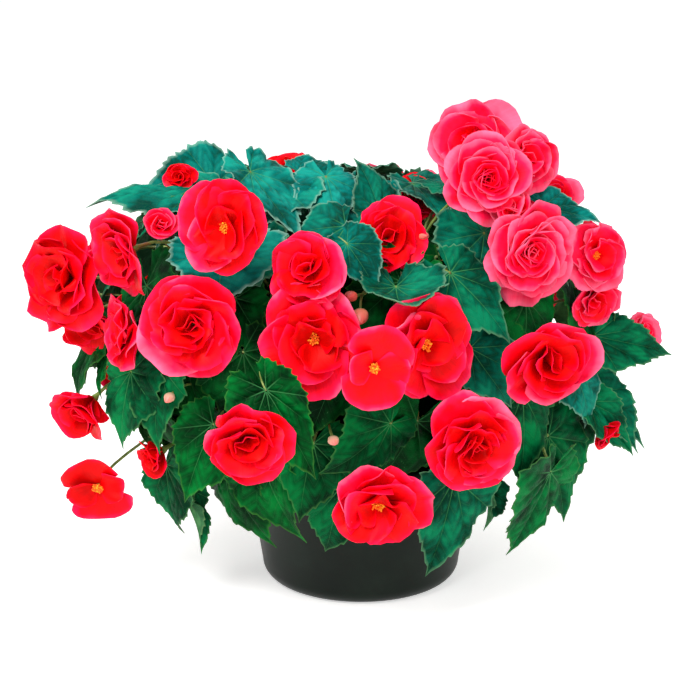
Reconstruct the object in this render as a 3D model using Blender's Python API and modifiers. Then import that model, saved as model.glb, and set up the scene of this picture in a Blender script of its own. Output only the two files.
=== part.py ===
"""A tuberous begonia in a plastic pot.

Metres, +Z up, the front towards -Y. The origin is the middle of the pot's flat base.
The pot holds the compost, the compost holds the tuber, and seven stems rise from the tuber.
Each leaf is one solid, its stalk and its blade, and each flower is one solid, its stalk and
its two whorls of petals. Each stalk springs from the nearest free seat on a stem.
"""

import math

import bmesh
import bpy
from mathutils import Matrix, Vector

# Pot
POT_HEIGHT = 0.145
POT_BASE_RADIUS = 0.098
POT_RIM_RADIUS = 0.121
POT_WALL = 0.0024
POT_FLOOR = 0.0030
POT_FOOT_ROUND = 0.024
POT_FOOT_STEPS = 4
RIM_FLARE = 0.006
RIM_DEPTH = 0.012
DRAIN_HOLES = 4
DRAIN_RADIUS = 0.007
DRAIN_CIRCLE = 0.062
TURN_STEPS = 32

# Compost and tuber
GAP = 0.0003
SOIL_TOP = 0.122
SOIL_DISH = 0.006
TUBER_RADIUS = 0.034
TUBER_HALF_HEIGHT = 0.016
TUBER_MIDDLE = 0.120

# Stems
STEM_FOOT_CIRCLE = 0.015
STEM_FOOT_RADIUS = 0.0058
STEM_TIP_RADIUS = 0.0032
STEM_POINTS = 9
MIDDLE_STEM = "stem_tall"
FIRST_SEAT = 0.18
SEAT_GAP = 0.0005
SEAT_SPACING = 0.005

# Leaves
BLADE_THICKNESS = 0.0012
BLADE_RINGS = 2
BLADE_SECTORS = 10
SINUS_HALF_ANGLE = math.radians(20)
LEAF_STALK_RADIUS = 0.0014
STALK_POINTS = 6
STALK_FOOT = 0.002

# Flowers
PETAL_THICKNESS = 0.0016
OUTER_SECTORS = 10
INNER_SECTORS = 5
WHORL_RINGS = 2
LOBES = 5
FLOWER_STALK_RADIUS = 0.0015
RECEPTACLE_RADIUS = 0.0045
RECEPTACLE_DEPTH = 0.010

# The mound that the foliage fills: blades lie along it, facing out.
MOUND_CENTRE = Vector((-0.010, 0.010, 0.250))
MOUND_HALF_SIZE = Vector((0.300, 0.240, 0.200))

# Stem: the point its tip reaches.
STEMS = {
    "stem_front": (0.010, -0.120, 0.250),
    "stem_front_left": (-0.110, -0.105, 0.265),
    "stem_left": (-0.175, 0.020, 0.275),
    "stem_back_left": (-0.080, 0.120, 0.285),
    "stem_back_right": (0.095, 0.115, 0.275),
    "stem_right": (0.165, -0.035, 0.255),
    "stem_tall": (0.085, -0.040, 0.350),
}

# Leaf: where its stalk meets the blade, its tip, and the side (1 or -1) that is the broader.
LEAVES = {
    "leaf_front_centre": ((-0.078, -0.200, 0.254), (-0.044, -0.218, 0.182), 1),
    "leaf_front_bud": ((0.026, -0.174, 0.212), (-0.030, -0.198, 0.162), -1),
    "leaf_front_drooping": ((0.086, -0.165, 0.157), (0.070, -0.146, 0.043), 1),
    "leaf_low_left_large": ((-0.094, -0.150, 0.172), (-0.070, -0.160, 0.085), -1),
    "leaf_low_front_left": ((-0.045, -0.172, 0.192), (-0.064, -0.184, 0.118), 1),
    "leaf_low_front": ((-0.020, -0.145, 0.140), (-0.038, -0.138, 0.064), 1),
    "leaf_left_round": ((-0.138, -0.155, 0.205), (-0.172, -0.165, 0.135), 1),
    "leaf_left_upper": ((-0.186, -0.135, 0.256), (-0.206, -0.150, 0.180), -1),
    "leaf_left_hanging": ((-0.188, -0.100, 0.145), (-0.178, -0.090, 0.076), 1),
    "leaf_far_left": ((-0.250, -0.040, 0.262), (-0.284, -0.055, 0.208), 1),
    "leaf_collar": ((-0.146, -0.122, 0.354), (-0.142, -0.194, 0.330), 1),
    "leaf_top_left_long": ((-0.165, -0.085, 0.402), (-0.254, -0.080, 0.398), 1),
    "leaf_top_left": ((-0.118, 0.010, 0.412), (-0.190, 0.030, 0.412), -1),
    "leaf_top_centre": ((-0.094, -0.050, 0.424), (-0.058, -0.138, 0.374), 1),
    "leaf_top_upright": ((0.019, -0.070, 0.384), (0.000, -0.056, 0.440), -1),
    "leaf_cupped": ((0.022, -0.172, 0.356), (0.060, -0.206, 0.328), 1),
    "leaf_centre_right": ((0.083, -0.146, 0.350), (0.138, -0.166, 0.306), -1),
    "leaf_top_right": ((0.178, -0.040, 0.384), (0.236, -0.032, 0.368), 1),
    "leaf_far_right": ((0.224, -0.040, 0.272), (0.305, -0.028, 0.240), -1),
    "leaf_right_trailing": ((0.240, -0.010, 0.204), (0.284, -0.006, 0.136), 1),
    "leaf_right_hanging": ((0.195, -0.060, 0.185), (0.212, -0.045, 0.085), 1),
    "leaf_low_right": ((0.170, -0.118, 0.140), (0.143, -0.104, 0.060), -1),
    "leaf_right_centre": ((0.098, -0.168, 0.282), (0.138, -0.172, 0.222), 1),
    "leaf_back_left": ((-0.150, 0.150, 0.260), (-0.200, 0.195, 0.190), 1),
    "leaf_back_right": ((0.140, 0.150, 0.270), (0.200, 0.195, 0.205), -1),
}

# Flower: its middle, the way it faces (azimuth from the front towards +X, elevation), width.
FLOWERS = {
    "flower_upper_left": ((-0.120, -0.165, 0.392), (-8, 12), 0.088),
    "flower_far_left": ((-0.283, -0.090, 0.335), (-40, 5), 0.094),
    "flower_left_below": ((-0.262, -0.070, 0.278), (-30, -30), 0.066),
    "flower_left_cup": ((-0.220, -0.135, 0.360), (-60, -20), 0.074),
    "flower_left_large": ((-0.155, -0.202, 0.310), (-12, 0), 0.096),
    "flower_left_behind": ((-0.218, -0.125, 0.292), (-60, 5), 0.056),
    "flower_centre_upper": ((-0.052, -0.195, 0.366), (-30, 5), 0.072),
    "flower_centre": ((-0.048, -0.228, 0.300), (-10, 5), 0.100),
    "flower_centre_single": ((0.016, -0.250, 0.266), (10, -18), 0.080),
    "flower_centre_right": ((0.068, -0.200, 0.298), (30, 0), 0.097),
    "flower_low_left": ((-0.106, -0.244, 0.208), (8, -12), 0.084),
    "flower_low_centre": ((0.014, -0.220, 0.148), (5, -8), 0.092),
    "flower_low_right": ((0.100, -0.222, 0.208), (10, -5), 0.098),
    "flower_right": ((0.176, -0.168, 0.263), (25, -15), 0.092),
    "flower_top_rose": ((0.114, -0.115, 0.434), (5, 12), 0.100),
    "flower_top_behind": ((0.100, -0.040, 0.462), (-15, 40), 0.092),
    "flower_right_rose": ((0.160, -0.130, 0.361), (20, -8), 0.098),
    "flower_far_right_single": ((0.228, -0.065, 0.348), (15, 5), 0.062),
    "flower_far_right_below": ((0.228, -0.050, 0.298), (40, -30), 0.054),
    "flower_right_behind": ((0.192, -0.010, 0.408), (30, 25), 0.060),
    "flower_trailing_bell": ((-0.278, -0.070, 0.190), (-60, -45), 0.058),
    "flower_trailing_single": ((-0.262, -0.070, 0.112), (-20, -25), 0.066),
    "flower_back_left": ((-0.120, 0.225, 0.330), (200, 15), 0.090),
    "flower_back_right": ((0.110, 0.220, 0.320), (160, 10), 0.092),
    "flower_back_low": ((0.000, 0.240, 0.225), (182, -5), 0.088),
}

LEAF_GREEN = (0.010, 0.150, 0.050, 1)
STEM_GREEN = (0.210, 0.200, 0.060, 1)
PETAL_RED = (0.950, 0.010, 0.030, 1)
POT_GREEN = (0.018, 0.032, 0.022, 1)
COMPOST_BROWN = (0.030, 0.018, 0.010, 1)
TUBER_BROWN = (0.120, 0.070, 0.035, 1)


def material(name, colour, roughness):
    made = bpy.data.materials.new(name)
    made.use_nodes = True
    shader = made.node_tree.nodes["Principled BSDF"]
    shader.inputs["Base Color"].default_value = colour
    shader.inputs["Roughness"].default_value = roughness
    return made


def new_object(name, mesh, look, collection):
    made = bpy.data.objects.new(name, mesh)
    collection.objects.link(made)
    made.data.materials.clear()
    made.data.materials.append(look)
    return made


def move_to(made, collection):
    """Put a new object in this collection alone."""
    for holder in list(made.users_collection):
        holder.objects.unlink(made)
    collection.objects.link(made)


def evaluated_mesh(made):
    """The object's mesh with its modifiers applied."""
    graph = bpy.context.evaluated_depsgraph_get()
    return bpy.data.meshes.new_from_object(made.evaluated_get(graph))


def direction(azimuth, elevation):
    """Azimuth 0 faces the front and 90 faces +X; elevation is above the horizon, in degrees."""
    a, e = math.radians(azimuth), math.radians(elevation)
    return Vector((math.sin(a) * math.cos(e), -math.cos(a) * math.cos(e), math.sin(e)))


def bezier(a, b, c, d, t):
    s = 1 - t
    return s**3 * a + 3 * s * s * t * b + 3 * s * t * t * c + t**3 * d


def frame_of(origin, x_axis, z_near):
    """A matrix at origin with +X along x_axis and +Z as near z_near as it can be."""
    x_axis = x_axis.normalized()
    z_axis = (z_near - z_near.dot(x_axis) * x_axis).normalized()
    y_axis = z_axis.cross(x_axis)
    turn = Matrix((x_axis, y_axis, z_axis)).transposed().to_4x4()
    return Matrix.Translation(origin) @ turn


def turned(name, profile, look, collection):
    """A solid turned about Z from a profile of (radius, height) points, outer side downwards."""
    mesh = bpy.data.meshes.new(name)
    points = [(r, 0, z) for r, z in profile]
    mesh.from_pydata(points, [(i, i + 1) for i in range(len(points) - 1)], [])
    made = new_object(name, mesh, look, collection)
    screw = made.modifiers.new("turn", "SCREW")
    screw.steps = screw.render_steps = TURN_STEPS
    screw.use_merge_vertices = True
    screw.merge_threshold = 0.0001
    return made


def pot_radius(height):
    """The pot's outer radius at a height, on its straight taper."""
    return POT_BASE_RADIUS + (POT_RIM_RADIUS - POT_BASE_RADIUS) * height / POT_HEIGHT


def pot_heel(inwards, upwards):
    """The rounded turn from the pot's wall to its floor, downwards, set in and up from its skin."""
    across, rise = POT_FOOT_ROUND - inwards, POT_FOOT_ROUND - upwards
    middle = pot_radius(POT_FOOT_ROUND) - POT_FOOT_ROUND
    heel = []
    for i in range(POT_FOOT_STEPS + 1):
        a = math.pi / 2 * i / POT_FOOT_STEPS
        heel.append((middle + across * math.cos(a), POT_FOOT_ROUND - rise * math.sin(a)))
    return heel


def make_pot(look, collection, helpers):
    wall_top = POT_HEIGHT - RIM_DEPTH
    flare = POT_RIM_RADIUS + RIM_FLARE
    profile = [(0, POT_FLOOR)] + pot_heel(POT_WALL, POT_FLOOR)[::-1] + [
        (POT_RIM_RADIUS - POT_WALL, POT_HEIGHT),
        (flare, POT_HEIGHT),
        (flare, wall_top + POT_WALL),
        (pot_radius(wall_top), wall_top),
    ] + pot_heel(0, 0) + [(0, 0)]
    pot = turned("pot", profile, look, collection)
    for i in range(DRAIN_HOLES):
        bpy.ops.mesh.primitive_cylinder_add(vertices=12, radius=DRAIN_RADIUS, depth=4 * POT_FLOOR)
        cutter = bpy.context.object
        cutter.name = f"drain_cutter_{i + 1}"
        angle = math.tau * (i + 0.5) / DRAIN_HOLES
        cutter.location = (DRAIN_CIRCLE * math.cos(angle), DRAIN_CIRCLE * math.sin(angle), 0)
        cutter.hide_render = True
        cutter.display_type = "WIRE"
        move_to(cutter, helpers)
        cut = pot.modifiers.new(f"drain_{i + 1}", "BOOLEAN")
        cut.operation = "DIFFERENCE"
        cut.object = cutter
    return pot


def make_soil(look, collection):
    """Compost up to the watering line, hollowed at the middle to seat the tuber."""
    inner = POT_WALL + 2 * GAP
    seat_radius = TUBER_RADIUS + 2 * GAP
    seat_depth = TUBER_HALF_HEIGHT + 2 * GAP
    dish_top = SOIL_TOP - SOIL_DISH
    edge = math.acos((TUBER_MIDDLE - dish_top) / seat_depth)
    steps = 4
    seat = []
    for i in range(steps + 1):
        a = edge * i / steps
        seat.append((seat_radius * math.sin(a), TUBER_MIDDLE - seat_depth * math.cos(a)))
    low = POT_FLOOR + GAP
    profile = seat + [(pot_radius(SOIL_TOP) - inner, SOIL_TOP)] + pot_heel(inner, low) + [(0, low)]
    return turned("compost", profile, look, collection)


def make_tuber(look, collection):
    bpy.ops.mesh.primitive_uv_sphere_add(segments=20, ring_count=12, radius=1)
    tuber = bpy.context.object
    move_to(tuber, collection)
    tuber.name = "tuber"
    tuber.data.transform(Matrix.Diagonal((TUBER_RADIUS, TUBER_RADIUS, TUBER_HALF_HEIGHT, 1)))
    tuber.location = (0, 0, TUBER_MIDDLE)
    tuber.data.materials.append(look)
    return tuber


def tube(name, points, radii, sides_level, collection):
    """A capped mesh tube through the points."""
    curve = bpy.data.curves.new(name, "CURVE")
    curve.dimensions = "3D"
    curve.bevel_depth = 1.0
    curve.bevel_resolution = sides_level
    curve.use_fill_caps = True
    spline = curve.splines.new("POLY")
    spline.points.add(len(points) - 1)
    for knot, point, radius in zip(spline.points, points, radii):
        knot.co = (*point, 1)
        knot.radius = radius
    made = bpy.data.objects.new(name, curve)
    collection.objects.link(made)
    mesh = evaluated_mesh(made)
    bpy.data.objects.remove(made)
    shape = bmesh.new()
    shape.from_mesh(mesh)
    bmesh.ops.remove_doubles(shape, verts=shape.verts, dist=0.00001)
    bmesh.ops.recalc_face_normals(shape, faces=shape.faces)
    shape.to_mesh(mesh)
    shape.free()
    return mesh


def stem_line(tip, foot_circle):
    """A stem's points: up from the tuber, then arching out to its tip."""
    tip = Vector(tip)
    out = Vector((tip.x, tip.y, 0)).normalized()
    foot = out * foot_circle
    share = max(foot_circle - 0.7 * STEM_FOOT_RADIUS, 0) / TUBER_RADIUS
    foot.z = TUBER_MIDDLE + TUBER_HALF_HEIGHT * math.sqrt(1 - share * share) + GAP
    rise = tip.z - foot.z
    above = foot + Vector((0, 0, 0.75 * rise))
    before = tip - out * 0.045 - Vector((0, 0, 0.10 * rise))
    steps = STEM_POINTS - 1
    return [bezier(foot, above, before, tip, i / steps) for i in range(STEM_POINTS)]


def stem_radius(share):
    return STEM_FOOT_RADIUS + (STEM_TIP_RADIUS - STEM_FOOT_RADIUS) * share


def seats(lines):
    """Places along every stem where a stalk may spring: (point, stem's direction, radius)."""
    found = []
    per_span = 6
    for line in lines.values():
        spans = len(line) - 1
        for i in range(int(FIRST_SEAT * spans * per_span), spans * per_span - 1):
            k, f = divmod(i, per_span)
            along = (line[k + 1] - line[k]).normalized()
            point = line[k].lerp(line[k + 1], f / per_span)
            found.append((point, along, stem_radius(i / (spans * per_span))))
    return found


def stalk_line(end, arrival, places):
    """A stalk's points, from the nearest stem to end, which it reaches going along arrival."""
    reach = 0.03
    seat = min(places, key=lambda p: (p[0] - (end - arrival * reach)).length)
    point, along, radius = seat
    places[:] = [p for p in places if (p[0] - point).length > SEAT_SPACING]
    away = end - point
    away = (away - away.dot(along) * along).normalized()
    start = point + away * (radius + SEAT_GAP)
    foot = start + away * STALK_FOOT
    third = (end - foot).length / 3
    middle_a = foot + away * third
    middle_b = end - arrival * third
    steps = STALK_POINTS - 2
    return [start] + [bezier(foot, middle_a, middle_b, end, i / steps) for i in range(steps + 1)]


def mound_normal(point):
    """The way the mound's surface faces at a point."""
    from_centre = point - MOUND_CENTRE
    return Vector([d / (s * s) for d, s in zip(from_centre, MOUND_HALF_SIZE)]).normalized()


def leaf_radius(angle, hand):
    """The blade's reach from its stalk at an angle from the midrib, for a tip at 1."""
    turn = abs(angle) / math.pi
    taper = math.exp(-((abs(angle) / math.radians(24)) ** 1.3))
    side = 1 + 0.13 * hand * math.sin(angle)
    return (0.52 + 0.48 * taper) * (1 - 0.50 * turn * turn) * side


def leaf_height(x, y):
    """How far the blade drops below its frame's plane, for a tip at x = 1."""
    return -0.16 * x * x - 0.20 * y * y


def blade_mesh(name, length, hand):
    """An open heart-shaped sheet about the stalk's end, which is its pole."""
    shape = bmesh.new()
    pole = shape.verts.new((0, 0, 0))
    reach = math.pi - SINUS_HALF_ANGLE
    rings = []
    for k in range(1, BLADE_RINGS + 1):
        ring = []
        for j in range(BLADE_SECTORS + 1):
            angle = reach * (2 * j / BLADE_SECTORS - 1)
            r = leaf_radius(angle, hand) * k / BLADE_RINGS
            x, y = r * math.cos(angle), r * math.sin(angle)
            ring.append(shape.verts.new(Vector((x, y, leaf_height(x, y))) * length))
        rings.append(ring)
    for j in range(BLADE_SECTORS):
        shape.faces.new((pole, rings[0][j], rings[0][j + 1]))
        for inner, outer in zip(rings, rings[1:]):
            shape.faces.new((inner[j], outer[j], outer[j + 1], inner[j + 1]))
    mesh = bpy.data.meshes.new(name)
    shape.to_mesh(mesh)
    shape.free()
    return mesh


def thickened(name, mesh, thickness, place, look, collection):
    """The sheet as a solid of even thickness, put in its place."""
    made = new_object(name, mesh, look, collection)
    shell = made.modifiers.new("thickness", "SOLIDIFY")
    shell.thickness = thickness
    shell.offset = 0
    solid = evaluated_mesh(made)
    bpy.data.objects.remove(made)
    solid.transform(place)
    return new_object(name, solid, look, collection)


def unite(name, pieces):
    """One solid from pieces that overlap; they are used up."""
    first, *others = pieces
    for other in others:
        join = first.modifiers.new("join", "BOOLEAN")
        join.operation = "UNION"
        join.object = other
    mesh = evaluated_mesh(first)
    first.modifiers.clear()
    first.data = mesh
    for other in others:
        bpy.data.objects.remove(other)
    first.name = name
    return first


def make_leaf(name, joint, tip, hand, places, look, collection):
    joint, tip = Vector(joint), Vector(tip)
    midrib = (tip - joint).normalized()
    facing = mound_normal((joint + tip) / 2)
    place = frame_of(joint, midrib, facing)
    length = (tip - joint).length
    blade = thickened(name, blade_mesh(name, length, hand), BLADE_THICKNESS, place, look, collection)
    up = place.to_3x3().col[2]
    arrival = (midrib + 0.8 * up).normalized()
    line = stalk_line(joint, arrival, places)
    radii = [LEAF_STALK_RADIUS] * STALK_POINTS
    stalk = new_object(name + "_stalk", tube(name, line, radii, 1, collection), look, collection)
    return unite(name, [blade, stalk])


def whorl_mesh(name, radius, rise, sectors):
    """A ring of petals as one lobed dish that rises to its edge."""
    shape = bmesh.new()
    pole = shape.verts.new((0, 0, 0))
    rings = []
    for k in range(1, WHORL_RINGS + 1):
        share = k / WHORL_RINGS
        ring = []
        for j in range(sectors):
            angle = math.tau * j / sectors
            lobe = 1 - 0.07 * share * (1 - math.cos(LOBES * angle))
            r = radius * share * lobe
            ring.append(shape.verts.new((r * math.cos(angle), r * math.sin(angle), rise * share**2)))
        rings.append(ring)
    for j in range(sectors):
        n = (j + 1) % sectors
        shape.faces.new((pole, rings[0][j], rings[0][n]))
        for inner, outer in zip(rings, rings[1:]):
            shape.faces.new((inner[j], outer[j], outer[n], inner[n]))
    mesh = bpy.data.meshes.new(name)
    shape.to_mesh(mesh)
    shape.free()
    return mesh


def make_flower(name, middle, facing, width, places, look, collection):
    middle = Vector(middle)
    facing = direction(*facing)
    across = Vector((facing.y, -facing.x, 0)).normalized()
    place = frame_of(middle, across, facing)
    radius = width / 2
    outer = whorl_mesh(name, radius, 0.16 * radius, OUTER_SECTORS)
    outer = thickened(name, outer, PETAL_THICKNESS, place, look, collection)
    lift = Matrix.Translation(facing * 0.004)
    inner = whorl_mesh(name, 0.55 * radius, 0.30 * radius, INNER_SECTORS)
    inner = thickened(name + "_inner", inner, PETAL_THICKNESS, lift @ place, look, collection)
    back = middle - facing * (RECEPTACLE_DEPTH - 0.003)
    line = stalk_line(back, facing, places)
    line.append(middle + facing * 0.005)
    radii = [FLOWER_STALK_RADIUS] * (STALK_POINTS - 1) + [RECEPTACLE_RADIUS * 0.5, RECEPTACLE_RADIUS]
    stalk = new_object(name + "_stalk", tube(name, line, radii, 1, collection), look, collection)
    return unite(name, [outer, inner, stalk])


def main():
    for old in list(bpy.data.objects):
        bpy.data.objects.remove(old)
    collection = bpy.data.collections.new("potted_begonia")
    helpers = bpy.data.collections.new("cutters")
    for group in (collection, helpers):
        bpy.context.scene.collection.children.link(group)

    make_pot(material("pot_plastic", POT_GREEN, 0.45), collection, helpers)
    make_soil(material("compost", COMPOST_BROWN, 0.95), collection)
    make_tuber(material("tuber_skin", TUBER_BROWN, 0.8), collection)

    stem_look = material("stem", STEM_GREEN, 0.5)
    lines = {}
    for name, tip in STEMS.items():
        lines[name] = stem_line(tip, 0 if name == MIDDLE_STEM else STEM_FOOT_CIRCLE)
    for name, line in lines.items():
        radii = [stem_radius(i / (STEM_POINTS - 1)) for i in range(STEM_POINTS)]
        new_object(name, tube(name, line, radii, 2, collection), stem_look, collection)
    places = seats(lines)

    leaf_look = material("leaf", LEAF_GREEN, 0.4)
    for name, (joint, tip, hand) in LEAVES.items():
        make_leaf(name, joint, tip, hand, places, leaf_look, collection)
    petal_look = material("petal", PETAL_RED, 0.45)
    for name, (middle, facing, width) in FLOWERS.items():
        make_flower(name, middle, facing, width, places, petal_look, collection)


main()
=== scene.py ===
"""A potted tuberous begonia in full flower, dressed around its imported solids.

Metres, +Z up, the front towards -Y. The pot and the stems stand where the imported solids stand,
and the leaves and flowers on theirs or near them. More leaves, flowers and buds fill the mound
between them.
"""

import math
import random

import bpy
import numpy as np
from mathutils import Matrix, Vector


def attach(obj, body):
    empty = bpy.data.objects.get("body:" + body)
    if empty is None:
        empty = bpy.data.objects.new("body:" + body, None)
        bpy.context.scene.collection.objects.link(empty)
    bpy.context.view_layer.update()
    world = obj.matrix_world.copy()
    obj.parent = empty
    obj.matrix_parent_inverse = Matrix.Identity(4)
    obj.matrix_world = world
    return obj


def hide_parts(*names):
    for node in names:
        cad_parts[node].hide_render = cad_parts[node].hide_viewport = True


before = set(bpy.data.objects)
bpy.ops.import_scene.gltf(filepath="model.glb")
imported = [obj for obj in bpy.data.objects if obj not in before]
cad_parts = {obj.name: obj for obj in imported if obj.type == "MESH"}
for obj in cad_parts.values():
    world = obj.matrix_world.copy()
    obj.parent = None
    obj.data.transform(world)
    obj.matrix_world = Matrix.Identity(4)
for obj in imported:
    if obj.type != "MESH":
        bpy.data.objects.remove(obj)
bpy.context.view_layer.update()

# ---------------------------------------------------------------- the plan

# The pot, turned about Z. Its sizes are those of its solid, but its foot is rounded more tightly.
POT_HEIGHT = 0.145
POT_BASE_RADIUS = 0.098
POT_RIM_RADIUS = 0.121
POT_WALL = 0.0024
POT_FLOOR = 0.0030
POT_FOOT_ROUND = 0.017
RIM_FLARE = 0.006
RIM_DEPTH = 0.012
RIM_CORNER = 0.0008
BEAD_MIDDLE = 0.10175
BEAD_HALF_HEIGHT = 0.00225
BEAD_HALF_FLAT = 0.00075
BEAD_BULGE = 0.0006
DRAIN_HOLES = 4
DRAIN_RADIUS = 0.007
DRAIN_CIRCLE = 0.062
POT_STEPS = 128
POT_SHARP_ANGLE = math.radians(35)

# The tuber's top, and the stems that stand on it with a gap between.
GAP = 0.0003
TUBER_RADIUS = 0.034
TUBER_HALF_HEIGHT = 0.016
TUBER_MIDDLE = 0.120
STEM_FOOT_CIRCLE = 0.015
STEM_FOOT_RADIUS = 0.0058
STEM_TIP_RADIUS = 0.0032
STEM_POINTS = 9
STEM_FINE_POINTS = 41
MIDDLE_STEM = "stem_tall"

# Seats: the share of a stem where they start, how many lie between two of its points, how near
# two stalks may stand, and how far a stalk's foot is off the stem's skin and how long it is.
FIRST_SEAT = 0.18
SEATS_PER_SPAN = 6
SEAT_SPACING = 0.005
SEAT_GAP = 0.0005
STALK_FOOT = 0.002

# The ellipsoid that leaves and flowers lie about.
MOUND_CENTRE = Vector((-0.010, 0.010, 0.250))
MOUND_HALF_SIZE = Vector((0.300, 0.240, 0.200))

# Stem: the point its tip reaches.
STEMS = {
    "stem_front": (0.010, -0.120, 0.250),
    "stem_front_left": (-0.110, -0.105, 0.265),
    "stem_left": (-0.175, 0.020, 0.275),
    "stem_back_left": (-0.080, 0.120, 0.285),
    "stem_back_right": (0.095, 0.115, 0.275),
    "stem_right": (0.165, -0.035, 0.255),
    "stem_tall": (0.085, -0.040, 0.350),
}

# Leaf: where its stalk meets the blade, its tip, its broader side, its tint (0 to 1 a teal
# painted reflection of the sky, below 0 painted shade), and how much it droops, 1 being a
# common droop and less than 0 a cup.
LEAVES = {
    "leaf_front_centre": ((-0.085, -0.236, 0.262), (-0.036, -0.246, 0.186), -1, -0.05, 0.4),
    "leaf_front_bud": ((0.026, -0.174, 0.212), (-0.030, -0.198, 0.162), -1, 0.05, 1.0),
    "leaf_front_drooping": ((0.086, -0.165, 0.157), (0.070, -0.146, 0.043), 1, 0.25, 1.0),
    "leaf_low_left_large": ((-0.094, -0.150, 0.172), (-0.070, -0.160, 0.085), -1, 0.0, 0.9),
    "leaf_low_front_left": ((-0.045, -0.172, 0.192), (-0.064, -0.184, 0.118), 1, 0.05, 1.0),
    "leaf_low_front": ((-0.020, -0.145, 0.140), (-0.038, -0.138, 0.064), 1, 0.1, 1.0),
    "leaf_left_round": ((-0.138, -0.155, 0.205), (-0.172, -0.165, 0.135), 1, 0.0, 0.8),
    "leaf_left_upper": ((-0.186, -0.135, 0.256), (-0.206, -0.150, 0.180), -1, 0.1, 1.0),
    "leaf_left_hanging": ((-0.188, -0.100, 0.148), (-0.186, -0.090, 0.071), 1, 0.1, 0.5),
    "leaf_far_left": ((-0.256, -0.040, 0.262), (-0.293, -0.055, 0.206), 1, 0.0, 1.0),
    "leaf_collar": ((-0.128, -0.148, 0.368), (-0.127, -0.196, 0.318), 1, 0.8, -2.0),
    "leaf_top_left_long": ((-0.150, -0.085, 0.414), (-0.258, -0.080, 0.406), 1, 0.6, 0.4),
    "leaf_top_left": ((-0.142, -0.020, 0.405), (-0.212, -0.036, 0.404), -1, 0.8, -0.9),
    "leaf_top_centre": ((-0.106, -0.052, 0.424), (-0.062, -0.134, 0.380), 1, 0.8, 0.6),
    "leaf_top_upright": ((0.019, -0.070, 0.384), (0.000, -0.056, 0.440), -1, 0.5, 0.8),
    "leaf_cupped": ((0.030, -0.172, 0.340), (0.032, -0.238, 0.310), 1, 0.4, -3.6),
    "leaf_centre_right": ((0.080, -0.150, 0.348), (0.141, -0.170, 0.296), -1, 0.3, 0.6),
    "leaf_top_right": ((0.170, -0.082, 0.396), (0.230, -0.072, 0.380), 1, 0.9, 0.4),
    "leaf_far_right": ((0.226, -0.040, 0.260), (0.315, -0.028, 0.238), -1, 0.2, 0.8),
    "leaf_right_trailing": ((0.220, -0.010, 0.206), (0.291, -0.006, 0.132), 1, 0.3, 0.4),
    "leaf_right_hanging": ((0.195, -0.060, 0.185), (0.212, -0.045, 0.085), 1, 0.1, 1.0),
    "leaf_low_right": ((0.180, -0.118, 0.146), (0.147, -0.108, 0.052), -1, 0.05, 0.8),
    "leaf_right_centre": ((0.098, -0.168, 0.282), (0.138, -0.172, 0.222), 1, 0.4, 1.0),
    "leaf_back_left": ((-0.150, 0.150, 0.260), (-0.200, 0.195, 0.190), 1, 0.1, 1.0),
    "leaf_back_right": ((0.140, 0.150, 0.270), (0.200, 0.195, 0.205), -1, 0.2, 1.0),
}

# More leaves, on no solid of their own, with the same columns.
MORE_LEAVES = {
    "spray_left_outer": ((-0.217, -0.120, 0.246), (-0.236, -0.125, 0.170), 1, 0.1, 1.0),
    "spray_low_left": ((-0.129, -0.125, 0.152), (-0.099, -0.125, 0.066), -1, -0.25, 1.0),
    "spray_low_left_folded": ((-0.178, -0.100, 0.128), (-0.148, -0.090, 0.054), 1, 0.1, 0.5),
    "spray_low_right": ((0.180, -0.090, 0.173), (0.205, -0.085, 0.080), 1, 0.1, 0.8),
    "spray_trailing_upper": ((0.224, -0.030, 0.200), (0.288, -0.020, 0.137), 1, 0.3, 0.8),
    "spray_trailing_lower": ((0.224, -0.040, 0.193), (0.276, -0.030, 0.133), -1, 0.2, 0.8),
    "spray_far_left": ((-0.238, -0.080, 0.262), (-0.260, -0.085, 0.214), 1, 0.0, 0.8),
    "spray_top_pale": ((-0.034, -0.050, 0.419), (-0.018, -0.112, 0.385), -1, 0.9, 0.8),
    "spray_top_back": ((-0.060, -0.020, 0.418), (-0.010, -0.030, 0.410), 1, 0.9, 0.6),
    "spray_top_fill": ((-0.060, -0.030, 0.400), (-0.050, -0.100, 0.376), 1, 0.3, 0.8),
    "spray_over_cup": ((-0.014, -0.165, 0.378), (0.016, -0.185, 0.340), 1, 0.7, 0.8),
    "spray_thin": ((0.122, -0.090, 0.120), (0.125, -0.085, 0.074), 1, 0.2, 0.5),
    "spray_top_small": ((0.081, -0.030, 0.406), (0.047, -0.030, 0.414), 1, 0.4, 0.5),
    "spray_under_long": ((-0.160, -0.100, 0.392), (-0.205, -0.110, 0.387), -1, 0.2, 0.6),
    "spray_right_gap": ((0.205, -0.080, 0.235), (0.232, -0.070, 0.173), 1, 0.6, 1.0),
    "spray_right_middle": ((0.150, -0.135, 0.230), (0.158, -0.140, 0.138), -1, 0.1, 0.8),
}

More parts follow.
